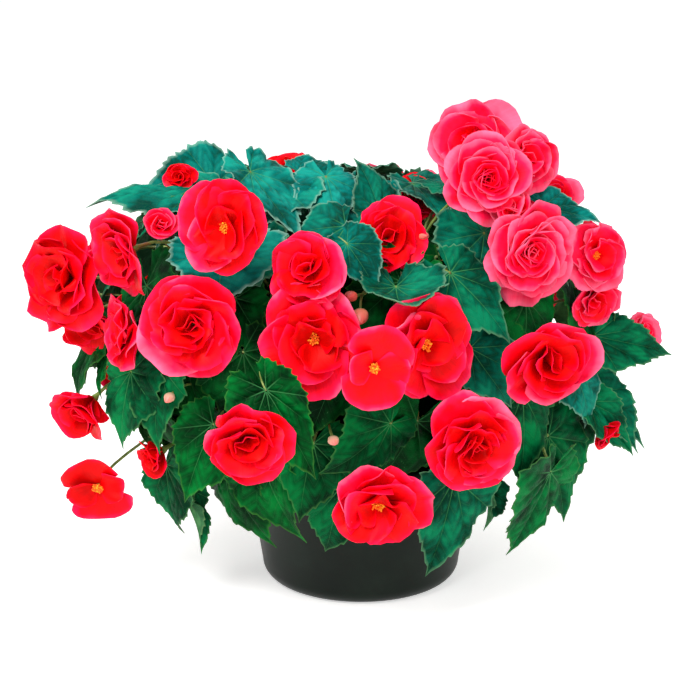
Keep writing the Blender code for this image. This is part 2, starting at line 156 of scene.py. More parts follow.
# Habits of some leaves: the way the blade faces, where that isn't square to the mound; how far
# its halves fold up; and its width as a share of the common one.
HABITS = {
    "leaf_collar": {"facing": (0, 58), "fold": 0.1, "width": 1.6},
    "leaf_front_centre": {"facing": (-14, 22), "width": 0.78},
    "leaf_front_drooping": {"width": 0.72},
    "leaf_far_left": {"width": 1.3},
    "leaf_right_trailing": {"fold": 0.2, "width": 0.7},
    "leaf_top_left": {"facing": (-5, 58), "fold": 0.3, "width": 1.1},
    "leaf_top_centre": {"facing": (30, 40), "width": 0.65},
    "spray_top_pale": {"facing": (10, 45), "width": 0.9},
    "spray_top_back": {"facing": (0, 50), "width": 0.9},
    "leaf_top_left_long": {"facing": (-20, 66), "width": 0.6},
    "leaf_cupped": {"facing": (10, 62), "fold": 0.2, "width": 1.1},
    "leaf_top_right": {"facing": (10, 56), "width": 0.8},
    "leaf_far_right": {"facing": (20, 25), "fold": 0.2, "width": 0.66},
    "spray_low_left_folded": {"facing": (75, 0), "fold": 0.6, "width": 0.19},
    "spray_thin": {"facing": (50, 0), "fold": 0.8, "width": 0.4},
    "spray_trailing_upper": {"fold": 0.4, "width": 0.6},
    "spray_trailing_lower": {"fold": 0.3, "width": 0.6},
    "spray_far_left": {"fold": 0.4, "width": 0.55},
    "spray_under_long": {"facing": (0, 40), "width": 0.8},
}

# Flower: its middle, the way it faces (azimuth from the front towards +X, elevation), width,
# height as a share of width, form, and how pale it is, from 0, scarlet, to 1, coral pink.
FLOWERS = {
    "flower_upper_left": ((-0.120, -0.203, 0.401), (-8, 12), 0.076, 1.26, "open", 0.3),
    "flower_far_left": ((-0.274, -0.090, 0.330), (-36, 5), 0.098, 1.04, "ruffled", 0.1),
    "flower_left_below": ((-0.256, -0.070, 0.285), (-20, -30), 0.074, 0.9, "bowl", 0.0),
    "flower_left_cup": ((-0.210, -0.135, 0.367), (-55, -15), 0.094, 1.0, "bowl", 0.5),
    "flower_left_large": ((-0.150, -0.202, 0.314), (-12, 0), 0.096, 0.96, "ruffled", 0.3),
    "flower_left_behind": ((-0.214, -0.130, 0.288), (-60, 5), 0.066, 1.1, "bowl", 0.6),
    "flower_centre_upper": ((-0.046, -0.195, 0.362), (-20, 15), 0.074, 1.0, "bowl", 0.3),
    "flower_centre": ((-0.043, -0.206, 0.302), (-10, 5), 0.096, 1.10, "open", 0.2),
    "flower_centre_single": ((0.009, -0.250, 0.288), (10, -10), 0.074, 1.12, "single", 0.3),
    "flower_centre_right": ((0.053, -0.200, 0.296), (30, 0), 0.102, 1.05, "open", 0.3),
    "flower_low_left": ((-0.102, -0.244, 0.222), (8, -12), 0.088, 0.9, "bowl", 0.1),
    "flower_low_centre": ((0.014, -0.220, 0.152), (5, -8), 0.094, 0.92, "open", 0.3),
    "flower_low_right": ((0.096, -0.222, 0.211), (10, -5), 0.094, 1.04, "ruffled", 0.3),
    "flower_right": ((0.164, -0.168, 0.274), (20, -10), 0.100, 0.86, "bowl", 0.2),
    "flower_top_rose": ((0.114, -0.115, 0.430), (5, 12), 0.086, 0.96, "rose", 1.0),
    "flower_top_behind": ((0.108, -0.050, 0.446), (-15, 30), 0.092, 1.0, "ruffled", 1.1),
    "flower_right_rose": ((0.151, -0.130, 0.365), (20, -8), 0.093, 1.06, "rose", 1.2),
    "flower_far_right_single": ((0.221, -0.065, 0.346), (25, 5), 0.071, 1.0, "open", 1.0),
    "flower_far_right_below": ((0.221, -0.052, 0.302), (30, -20), 0.056, 1.1, "bowl", 0.8),
    "flower_right_behind": ((0.184, -0.010, 0.391), (20, 30), 0.058, 0.85, "bowl", 0.6),
    "flower_trailing_bell": ((-0.260, -0.070, 0.204), (-40, -35), 0.084, 1.0, "bell", 0.2),
    "flower_trailing_single": ((-0.258, -0.070, 0.116), (-5, -10), 0.087, 0.84, "single", 0.2),
    "flower_back_left": ((-0.120, 0.225, 0.330), (200, 15), 0.090, 1.0, "ruffled", 0.3),
    "flower_back_right": ((0.110, 0.220, 0.320), (160, 10), 0.092, 1.0, "open", 0.3),
    "flower_back_low": ((0.000, 0.240, 0.225), (182, -5), 0.088, 1.0, "rose", 0.6),
}

# More flowers, on no solid of their own, with the same columns.
MORE_FLOWERS = {
    "bloom_top_red": ((0.055, 0.010, 0.385), (0, 40), 0.060, 1.0, "bowl", 0.0),
    "bloom_behind_cup": ((0.022, -0.116, 0.372), (10, 30), 0.076, 1.0, "bowl", 0.2),
    "bloom_top_left": ((-0.070, 0.040, 0.402), (-20, 50), 0.060, 1.0, "bell", 0.0),
    "bloom_left_shoulder": ((-0.170, -0.072, 0.422), (-10, 20), 0.034, 0.8, "bowl", -0.1),
    "bloom_far_right": ((0.282, 0.016, 0.248), (40, 30), 0.040, 1.0, "bowl", 1.5),
    "bloom_top_rose_side": ((0.150, -0.064, 0.438), (25, 10), 0.070, 1.0, "bowl", 1.1),
    "bloom_right_rose_above": ((0.137, -0.118, 0.398), (0, 30), 0.052, 1.0, "bell", 1.5),
    "bloom_upper_left_pale": ((-0.186, -0.120, 0.384), (10, 30), 0.046, 1.0, "bell", 1.0),
    "bloom_low_right": ((0.236, -0.040, 0.165), (60, -30), 0.046, 1.0, "bell", 0.1),
    "bloom_low_far_left": ((-0.190, -0.120, 0.168), (-50, -20), 0.050, 1.0, "bell", 0.0),
    "bloom_back_top": ((0.020, 0.150, 0.360), (175, 45), 0.088, 1.0, "ruffled", 0.3),
    "bloom_back_top_left": ((-0.188, 0.142, 0.352), (220, 35), 0.084, 1.0, "open", 0.2),
    "bloom_back_top_right": ((0.165, 0.130, 0.345), (135, 35), 0.090, 1.0, "rose", 0.8),
    "bloom_side_left": ((-0.262, 0.095, 0.300), (255, 15), 0.088, 1.0, "rose", 0.5),
    "bloom_side_left_low": ((-0.245, 0.080, 0.195), (255, -10), 0.082, 1.0, "ruffled", 0.2),
    "bloom_side_right": ((0.236, 0.105, 0.298), (105, 15), 0.086, 1.0, "ruffled", 0.3),
    "bloom_side_right_low": ((0.232, 0.095, 0.205), (105, -10), 0.080, 1.0, "open", 0.2),
    "bloom_back_far_left": ((-0.205, 0.175, 0.245), (225, 5), 0.084, 1.0, "open", 0.2),
    "bloom_back_far_right": ((0.195, 0.175, 0.265), (135, 5), 0.086, 1.0, "ruffled", 0.4),
    "bloom_back_low_left": ((-0.110, 0.215, 0.165), (205, -12), 0.080, 1.0, "single", 0.2),
    "bloom_back_low_right": ((0.105, 0.215, 0.170), (155, -12), 0.084, 1.0, "open", 0.3),
}

# Bud: its middle, the way it points, its length, and how pale it is.
BUDS = {
    "bud_centre": ((-0.002, -0.200, 0.319), (0, -25), 0.020, 0.3),
    "bud_centre_small": ((-0.011, -0.200, 0.338), (-20, 10), 0.016, 0.1),
    "bud_front_white": ((-0.026, -0.205, 0.205), (10, -10), 0.014, 1.0),
    "bud_left_white": ((-0.178, -0.160, 0.232), (-20, -20), 0.014, 1.0),
    "bud_upper_right": ((0.057, -0.120, 0.376), (20, 10), 0.014, 0.5),
    "bud_back_left": ((-0.050, 0.215, 0.290), (190, 0), 0.024, 0.3),
    "bud_back_right": ((0.170, 0.170, 0.330), (140, 20), 0.024, 0.3),
    "bud_side_left": ((-0.270, 0.000, 0.290), (270, -10), 0.022, 0.3),
}


# ---------------------------------------------------------------- shapes

PLANT_SHARP_ANGLE = math.radians(55)


def direction(azimuth, elevation):
    """Azimuth 0 faces the front and 90 faces +X; elevation is above the horizon, in degrees."""
    a, e = math.radians(azimuth), math.radians(elevation)
    return Vector((math.sin(a) * math.cos(e), -math.cos(a) * math.cos(e), math.sin(e)))


def bezier(a, b, c, d, t):
    """The point at share t of the curve from a to d, which leaves towards b and arrives from c."""
    s = 1 - t
    return s**3 * a + 3 * s * s * t * b + 3 * s * t * t * c + t**3 * d


def frame_of(origin, x_axis, z_near):
    """A matrix at origin with +X along x_axis and +Z as near z_near as it can be."""
    x_axis = x_axis.normalized()
    z_axis = (z_near - z_near.dot(x_axis) * x_axis).normalized()
    y_axis = z_axis.cross(x_axis)
    turn = Matrix((x_axis, y_axis, z_axis)).transposed().to_4x4()
    return Matrix.Translation(origin) @ turn


def moved(points, matrix):
    """An array of points, moved by a matrix."""
    turn = np.array(matrix.to_3x3())
    return points @ turn.T + np.array(matrix.translation)


class Shape:
    """Points, faces and surface marks gathered for one piece."""

    def __init__(self):
        self.points, self.marks, self.tints = [], [], []
        self.faces, self.slots = [], []
        self.count = 0

    def add(self, points, faces, marks, tint, slot=0):
        self.points.append(points)
        self.marks.append(np.broadcast_to(marks, points.shape))
        self.tints.append(np.broadcast_to(tint, len(points)))
        self.faces += (np.asarray(faces) + self.count).tolist()
        self.slots += [slot] * len(faces)
        self.count += len(points)

    def piece(self, name, looks):
        mesh = bpy.data.meshes.new(name)
        mesh.from_pydata(np.concatenate(self.points).tolist(), [], self.faces)
        for look in looks:
            mesh.materials.append(look)
        mesh.polygons.foreach_set("material_index", self.slots)
        mark = mesh.attributes.new("mark", "FLOAT_VECTOR", "POINT")
        mark.data.foreach_set("vector", np.concatenate(self.marks).astype(np.float32).ravel())
        tint = mesh.attributes.new("tint", "FLOAT", "POINT")
        tint.data.foreach_set("value", np.concatenate(self.tints).astype(np.float32))
        mesh.shade_smooth()
        mesh.set_sharp_from_angle(angle=PLANT_SHARP_ANGLE)
        made = bpy.data.objects.new(name, mesh)
        bpy.context.scene.collection.objects.link(made)
        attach(made, "root")
        return made


def sheet(grid, thickness):
    """A thin closed solid about a grid of points (rows, columns, 3): its points and faces.

    The faces of its lower side come first, where rows run along +X and columns along +Y.
    """
    rows, columns = grid.shape[:2]
    across = np.gradient(grid, axis=1)
    along = np.gradient(grid, axis=0)
    normal = np.cross(across, along)
    normal /= np.maximum(np.linalg.norm(normal, axis=2, keepdims=True), 1e-9)
    half = normal * thickness / 2
    points = np.concatenate([(grid + half).reshape(-1, 3), (grid - half).reshape(-1, 3)])
    index = np.arange(rows * columns).reshape(rows, columns)
    a, b = index[:-1, :-1].ravel(), index[:-1, 1:].ravel()
    c, d = index[1:, 1:].ravel(), index[1:, :-1].ravel()
    top = np.stack([a, b, c, d], 1)
    under = top[:, ::-1] + rows * columns
    edge = np.concatenate([index[0, :-1], index[:-1, -1], index[-1, :0:-1], index[:0:-1, 0]])
    after = np.roll(edge, -1)
    rim = np.stack([after, edge, edge + rows * columns, after + rows * columns], 1)
    return points, np.concatenate([top, under, rim])


def tube(line, radii, sides=8):
    """A closed round tube through the points: its points, faces and share along it."""
    line = [Vector(p) for p in line]
    turn = (line[1] - line[0]).normalized()
    side = turn.orthogonal().normalized()
    rings = []
    for i, point in enumerate(line):
        ahead = (line[min(i + 1, len(line) - 1)] - line[max(i - 1, 0)]).normalized()
        side = (side - side.dot(ahead) * ahead).normalized()
        other = ahead.cross(side)
        for j in range(sides):
            a = math.tau * j / sides
            rings.append(point + radii[i] * (math.cos(a) * side + math.sin(a) * other))
    points = np.array([*rings, line[0], line[-1]], dtype=float)
    faces = []
    for i in range(len(line) - 1):
        for j in range(sides):
            n = (j + 1) % sides
            low, high = i * sides, (i + 1) * sides
            faces.append((low + j, low + n, high + n, high + j))
    last = (len(line) - 1) * sides
    first_pole, last_pole = len(rings), len(rings) + 1
    for j in range(sides):
        n = (j + 1) % sides
        faces.append((first_pole, n, j, j))
        faces.append((last_pole, last + j, last + n, last + n))
    share = np.append(np.repeat(np.linspace(0, 1, len(line)), sides), [0, 1])
    return points, faces, share


def add_tube(shape, line, radii, tint, slot, sides=8):
    points, faces, share = tube(line, radii, sides)
    quads = [f for f in faces if len(set(f)) == 4]
    caps = [tuple(dict.fromkeys(f)) for f in faces if len(set(f)) == 3]
    marks = np.stack([share, 0 * share, 0 * share], 1)
    base = shape.count
    shape.add(points, quads, marks, tint, slot)
    shape.faces += [tuple(i + base for i in f) for f in caps]
    shape.slots += [slot] * len(caps)


# ---------------------------------------------------------------- stems and stalks

def stem_line(tip, foot_circle, count=STEM_POINTS):
    """A stem's points: straight up from the tuber's skin, then arching out to its tip."""
    tip = Vector(tip)
    out = Vector((tip.x, tip.y, 0)).normalized()
    foot = out * foot_circle
    share = max(foot_circle - 0.7 * STEM_FOOT_RADIUS, 0) / TUBER_RADIUS
    foot.z = TUBER_MIDDLE + TUBER_HALF_HEIGHT * math.sqrt(1 - share * share) + GAP
    rise = tip.z - foot.z
    above = foot + Vector((0, 0, 0.75 * rise))
    before = tip - out * 0.045 - Vector((0, 0, 0.10 * rise))
    return [bezier(foot, above, before, tip, i / (count - 1)) for i in range(count)]


def stem_radius(share):
    return STEM_FOOT_RADIUS + (STEM_TIP_RADIUS - STEM_FOOT_RADIUS) * share


def seats(lines):
    """Places along every stem where a stalk may spring: (point, stem's direction, radius)."""
    found = []
    for line in lines:
        places = (len(line) - 1) * SEATS_PER_SPAN
        for i in range(int(FIRST_SEAT * places), places - 1):
            span, step = divmod(i, SEATS_PER_SPAN)
            along = (line[span + 1] - line[span]).normalized()
            point = line[span].lerp(line[span + 1], step / SEATS_PER_SPAN)
            found.append((point, along, stem_radius(i / places)))
    return found


def stalk_line(end, arrival, places, take=True, count=14):
    """A stalk's points, from the nearest stem to end, which it reaches going along arrival."""
    reach = 0.03
    seat = min(places, key=lambda p: (p[0] - (end - arrival * reach)).length)
    point, along, radius = seat
    if take:
        places[:] = [p for p in places if (p[0] - point).length > SEAT_SPACING]
    away = end - point
    away = (away - away.dot(along) * along).normalized()
    start = point + away * (radius + SEAT_GAP)
    foot = start + away * STALK_FOOT
    third = (end - foot).length / 3
    middle_a = foot + away * third
    middle_b = end - arrival * third
    steps = count - 2
    return [start] + [bezier(foot, middle_a, middle_b, end, i / steps) for i in range(steps + 1)]


def mound_normal(point):
    """Straight out from the mound at a point on or near it."""
    from_centre = point - MOUND_CENTRE
    return Vector([d / (s * s) for d, s in zip(from_centre, MOUND_HALF_SIZE)]).normalized()


def on_mound(azimuth, elevation, scale):
    """A point of the mound, shrunk by scale about its centre."""
    way = direction(azimuth, elevation)
    return MOUND_CENTRE + Vector([w * s * scale for w, s in zip(way, MOUND_HALF_SIZE)])


# ---------------------------------------------------------------- leaves

# Main veins spread from the stalk at these angles from the midrib, and a notch lies between the
# last two. Side veins leave them every RIB_SPACING of the blade's length, at RIB_SLANT.
VEIN_ANGLES = np.radians([0, 27, 58, 98, 142])
NOTCH_HALF_ANGLE = math.radians(20)
RIB_SPACING = 0.125
RIB_SLANT = 1.15
TOOTH_PROFILE = np.array([1.0, 0.35, 0.0])
LEAF_TEETH = 15
LEAF_ROWS = 30
BLADE_THICKNESS = 0.0007
LEAF_STALK_RADIUS = 0.0016


def outline(angle, hand):
    """The blade's reach from its stalk at angles from the midrib, for a tip at 1."""
    size = np.abs(angle)
    turn = size / math.pi
    tip = np.exp(-((size / math.radians(18)) ** 0.9))
    lobes = sum(np.exp(-(((size - a) / math.radians(8)) ** 2)) for a in VEIN_ANGLES[1:])
    lopsided = 1 + 0.13 * hand * np.sin(angle)
    return (0.52 + 0.48 * tip + 0.035 * lobes) * (1 - 0.50 * turn**2) * lopsided


def blade(hand, droop, luck, teeth, rows, fold, width):
    """A toothed, veined leaf blade for a tip at x = 1: its grid and its marks.

    The marks are the place along the nearest vein, the distance off it and the share of the way
    out to the edge.
    """
    half = teeth * len(TOOTH_PROFILE)
    step = np.arange(-half, half + 1)
    reach = math.pi - NOTCH_HALF_ANGLE
    angle = np.sign(step) * (np.abs(step) / half) ** 1.25 * reach
    tooth = TOOTH_PROFILE[np.abs(step) % len(TOOTH_PROFILE)] - 0.4
    tooth *= 0.032 + 0.018 * np.cos(step * 0.9)
    rim = outline(angle, hand)
    s = np.linspace(0.02, 1, rows)[:, None] ** 0.9
    r = rim * s + tooth * s**12
    x, y = r * np.cos(angle), r * np.sin(angle)
    nearest = np.abs(np.abs(angle)[:, None] - VEIN_ANGLES).argmin(1)
    vein = VEIN_ANGLES[nearest] * np.sign(angle)
    along = x * np.cos(vein) + y * np.sin(vein)
    off = np.abs(y * np.cos(vein) - x * np.sin(vein))
    # The blade swells between its veins, droops, folds up about its midrib and waves at its edge.
    rib = np.mod((along - RIB_SLANT * off) / RIB_SPACING, 1)
    quilt = (1 - np.exp(-((off / 0.03) ** 2))) * (0.45 + 0.55 * np.sin(math.pi * rib))
    z = 0.028 * quilt * np.minimum(s / 0.2, 1)
    z = z - droop * (0.16 * x * x + 0.20 * y * y)
    z = z + (fold + luck.uniform(-0.12, 0.20)) * np.sqrt(y * y + 0.0009)
    z = z + 0.040 * s**3 * np.sin(luck.uniform(4, 7) * angle + luck.uniform(0, 6))
    z = z + 0.016 * s**4 * np.sin(luck.uniform(11, 15) * angle + luck.uniform(0, 6))
    z = z - luck.uniform(0.0, 0.6) * np.maximum(x - 0.5, 0) ** 2
    y = width * y + luck.uniform(-0.12, 0.12) * x * x
    return np.stack([x, y, z], 2), np.stack([along, off, s + 0 * x], 2)


def add_blade(shape, place, length, hand, droop, tint, luck, teeth, rows, fold, width):
    """A leaf blade, with the underside's own look on the faces of its lower side."""
    grid, marks = blade(hand, droop, luck, teeth, rows, fold, width)
    points, faces = sheet(grid * length, BLADE_THICKNESS)
    marks = marks.reshape(-1, 3)
    shape.add(moved(points, place), faces, np.concatenate([marks, marks]), tint)
    unders = (grid.shape[0] - 1) * (grid.shape[1] - 1)
    start = len(shape.slots) - len(faces)
    shape.slots[start:start + unders] = [1] * unders


def add_leaf(shape, joint, tip, hand, tint, droop, places, luck, take=True, teeth=LEAF_TEETH,
             rows=LEAF_ROWS, facing=None, fold=0, width=1):
    """A leaf with its stalk, which takes the seat that it springs from unless told not to."""
    joint, tip = Vector(joint), Vector(tip)
    midrib = (tip - joint).normalized()
    face = direction(*facing) if facing else mound_normal((joint + tip) / 2)
    place = frame_of(joint, midrib, face)
    length = (tip - joint).length
    add_blade(shape, place, length, hand, droop, tint, luck, teeth, rows, fold, width)
    up = place.to_3x3().col[2]
    line = stalk_line(joint, (midrib + 0.8 * up).normalized(), places, take)
    radii = [LEAF_STALK_RADIUS * (1.15 - 0.3 * i / len(line)) for i in range(len(line))]
    add_tube(shape, line, radii, tint, 2, 7)


# ---------------------------------------------------------------- flowers

# Whorl: petals, length and width as shares of the flower's radius, lean from its axis at the
# petal's foot and at its edge in degrees, cupping and ruffling.
FORMS = {
    "open": [
        (5, 1.04, 1.30, 66, 92, 0.10, 0.10),
        (4, 0.84, 1.08, 50, 78, 0.14, 0.11),
        (3, 0.58, 0.74, 34, 64, 0.15, 0.11),
    ],
    "bowl": [
        (5, 1.04, 1.36, 58, 82, 0.12, 0.09),
        (4, 0.86, 1.20, 44, 64, 0.14, 0.10),
        (3, 0.62, 0.90, 28, 50, 0.14, 0.07),
        (2, 0.42, 0.60, 8, 28, 0.14, 0.05),
    ],
    "ruffled": [
        (5, 1.04, 1.36, 66, 92, 0.10, 0.10),
        (5, 0.86, 1.14, 52, 76, 0.12, 0.12),
        (4, 0.66, 0.88, 38, 60, 0.14, 0.11),
        (3, 0.44, 0.62, 20, 40, 0.16, 0.09),
        (2, 0.28, 0.40, 4, 18, 0.16, 0.07),
    ],
    "rose": [
        (6, 1.04, 1.10, 76, 102, 0.06, 0.09),
        (6, 0.90, 1.02, 62, 86, 0.08, 0.08),
        (6, 0.73, 0.88, 48, 68, 0.12, 0.07),
        (5, 0.57, 0.76, 34, 52, 0.16, 0.06),
        (5, 0.42, 0.56, 20, 34, 0.20, 0.05),
        (4, 0.27, 0.40, 6, 18, 0.24, 0.04),
    ],
    "single": [
        (2, 1.00, 1.50, 68, 92, 0.10, 0.08),
        (2, 0.78, 0.90, 60, 84, 0.10, 0.07),
    ],
    "bell": [
        (4, 1.00, 1.20, 26, 66, 0.10, 0.05),
        (4, 0.86, 1.00, 16, 44, 0.12, 0.06),
        (3, 0.60, 0.66, 6, 22, 0.14, 0.06),
    ],
}
PETAL_THICKNESS = 0.0007
PETAL_ROWS = 11
PETAL_COLUMNS = 15
WITH_STAMENS = ("open", "single")
STAMENS = 32
STAMEN_SPREAD = 0.6
GOLDEN_ANGLE = 2.39996
FLOWER_STALK_RADIUS = 0.0015
BUD_STALK_RADIUS = 0.0012


def petal(length, width, lean_foot, lean_edge, cup, ruffle, radius, luck):
    """A petal out along +X from a foot at the origin, for a flower facing +Z: grid, marks.

    The marks are the share of the way from foot to edge and the place across, from -1 to 1.
    """
    # Its outline: narrow at the foot, round at the edge, with a shallow notch and small waves.
    v = np.linspace(0, 1, PETAL_ROWS)[:, None] ** 0.8
    u = np.sin(np.linspace(-math.pi / 2, math.pi / 2, PETAL_COLUMNS))[None, :]
    span = 0.22 + 0.78 * np.sin(np.minimum(v / 0.78, 1) * math.pi / 2)
    round_off = luck.uniform(0.48, 0.72) * (1 - np.sqrt(np.maximum(1 - u * u, 0)))
    notch = luck.uniform(-0.03, 0.07) * np.exp(-((u / 0.3) ** 2))
    notch = notch + 0.012 * np.sin(luck.uniform(7, 11) * u + luck.uniform(0, 6.3))
    reach = v * (1 - (round_off + notch) * v**0.4)
    # Its run outwards and upwards, step by step, as it leans further from the flower's axis.
    steps = 39
    fine = np.linspace(0, 1, steps + 1)
    lean = np.radians(lean_foot + (lean_edge - lean_foot) * fine**1.1)
    out = np.concatenate([[0], np.cumsum(np.sin(lean[1:]) / steps)])
    up = np.concatenate([[0], np.cumsum(np.cos(lean[1:]) / steps)])
    x = np.interp(reach, fine, out) * length
    z = np.interp(reach, fine, up) * length
    here = np.interp(reach, fine, lean)
    y = u * span * width / 2
    # Its sides cup, and its edge ripples more the further out it lies.
    lift = cup * radius * u * u * span
    lift = lift + luck.uniform(-0.05, 0.07) * radius * np.abs(u) * v
    waves = luck.uniform(1.3, 2.4)
    ripple = np.sin(waves * math.pi * u + luck.uniform(0, 6.3)) * (0.3 + 0.7 * np.abs(u))
    ripple = ripple + 0.5 * np.sin(2.7 * waves * u + luck.uniform(0, 6.3) + 3 * v)
    lift = lift + ruffle * radius * v**2.2 * ripple
    x = x - lift * np.cos(here)
    z = z + lift * np.sin(here)
    y = y + 0.25 * ruffle * radius * v * np.sin(5 * v + luck.uniform(0, 6.3))
    return np.stack([x, y, z], 2), np.stack([v + 0 * u, u + 0 * v, 0 * x], 2)


def add_petals(shape, place, radius, form, pale, luck):
    """Every petal of a flower, whorl by whorl from the outside in, each lapping the next."""
    start = luck.uniform(0, math.tau)
    if form == "single":
        start = math.pi / 2 + luck.uniform(-0.3, 0.3)
    lap = luck.choice((-1, 1)) * 0.13
    loose = 0.7 if form == "rose" else 1
    nod = Matrix.Identity(4)
    for level, (count, length, width, foot, edge, cup, ruffle) in enumerate(FORMS[form]):
        for i in range(count):
            size = 1 + loose * luck.uniform(-0.16, 0.10)
            grid, marks = petal(
                length * radius * size, width * radius * luck.uniform(0.84, 1.10),
                foot + loose * luck.uniform(-8, 7), edge + loose * luck.uniform(-14, 10),
                cup, ruffle * (0.6 + 0.6 * loose), radius, luck)
            points, faces = sheet(grid, PETAL_THICKNESS)
            stray = luck.uniform(-0.18, 0.18)
            turn = start + math.tau * (i + 0.5 * (level % 2)) / count + stray
            spin = Matrix.Rotation(turn, 4, "Z")
            shift = Matrix.Translation((0.04 * radius, 0, 0.02 * radius * level))
            twist = Matrix.Rotation(lap + loose * luck.uniform(-0.14, 0.14), 4, "X")
            points = moved(points, nod @ spin @ shift @ twist)
            marks = np.concatenate([marks.reshape(-1, 3)] * 2)
            marks[:, 2] = np.linalg.norm(points[:, :2], axis=1) / radius
            tint = pale + luck.uniform(-0.28, 0.28)
            if level == 0 and luck.random() < 0.12:
                tint += 0.7
            shape.add(moved(points, place), faces, marks, tint)
        tip_x, tip_y = (loose * luck.uniform(-0.12, 0.12) for _ in range(2))
        nod = nod @ Matrix.Rotation(tip_x, 4, "X") @ Matrix.Rotation(tip_y, 4, "Y")


def add_stamens(shape, place, radius, luck):
    """A tuft of yellow stamens: a short thread and a fat club head each."""
    for i in range(STAMENS):
        lean = STAMEN_SPREAD * math.sqrt(i / STAMENS)
        turn = i * GOLDEN_ANGLE
        way = Vector((math.sin(lean) * math.cos(turn), math.sin(lean) * math.sin(turn), math.cos(lean)))
        length = radius * luck.uniform(0.15, 0.23)
        foot = Vector((way.x, way.y, 0)) * 0.05 * radius
        knots = [foot + way * length * t for t in (0, 0.5, 0.62, 0.8, 0.95, 1.0)]
        girth = radius * 0.022
        radii = [0.3 * girth, 0.3 * girth, 0.7 * girth, girth, 0.8 * girth, 0.2 * girth]
        points = [place @ k for k in knots]
        add_tube(shape, points, radii, luck.uniform(0, 1), 2, 6)


def add_flower(shape, middle, facing, width, tall, form, pale, places, luck, take=True):
    """A flower with its stalk, which thickens to the cup that the petals' feet stand in."""
    middle, facing = Vector(middle), direction(*facing)
    across = Vector((facing.y, -facing.x, 0)).normalized()
    place = frame_of(middle, across, facing) @ Matrix.Diagonal((1, tall, 1, 1))
    radius = width / 2
    add_petals(shape, place, radius, form, pale, luck)
    if form in WITH_STAMENS:
        add_stamens(shape, place, radius, luck)
    line = stalk_line(middle - facing * 0.007, facing, places, take)
    line.append(middle - facing * 0.003)
    line.append(middle + facing * 0.001)
    radii = [FLOWER_STALK_RADIUS] * (len(line) - 3) + [0.0021, 0.0036, 0.0042]
    add_tube(shape, line, radii, pale, 1, 8)


# ---------------------------------------------------------------- materials

def linear(code):
    """An sRGB hex colour as linear red, green, blue and alpha."""
    parts = [int(code[i:i + 2], 16) / 255 for i in (1, 3, 5)]
    return (*(p / 12.92 if p <= 0.04045 else ((p + 0.055) / 1.055) ** 2.4 for p in parts), 1)


def every(millimetres):
    """The scale that gives a pattern a real size, on places in metres."""
    return 1000 / millimetres


def new_material(name):
    """A material with its node tree and its shader."""
    made = bpy.data.materials.new(name)
    made.use_nodes = True
    tree = made.node_tree
    return made, tree, tree.nodes["Principled BSDF"]


def add(tree, kind, inputs=None, stops=None, **settings):
    """A node with its settings, its inputs' values or links, and its ramp's stops."""
    made = tree.nodes.new(kind)
    for key, value in settings.items():
        setattr(made, key, value)
    for key, value in (inputs or {}).items():
        if isinstance(value, bpy.types.NodeSocket):
            tree.links.new(value, made.inputs[key])
        else:
            made.inputs[key].default_value = value
    for i, (position, colour) in enumerate(stops or []):
        knots = made.color_ramp.elements
        knot = knots[i] if i < len(knots) else knots.new(position)
        knot.position = position
        knot.color = colour if isinstance(colour, tuple) else linear(colour)
    return made


def grey(value):
    """A linear grey, from 0, black, to 1, white."""
    return (value, value, value, 1)


# Petals are about 45 mm long. The ribs on them are 1.6 mm apart and fade out over 28 mm.
PETAL_LENGTH_MM = 45
PETAL_RIB_MM = 1.6
PETAL_RIB_RUN_MM = 28


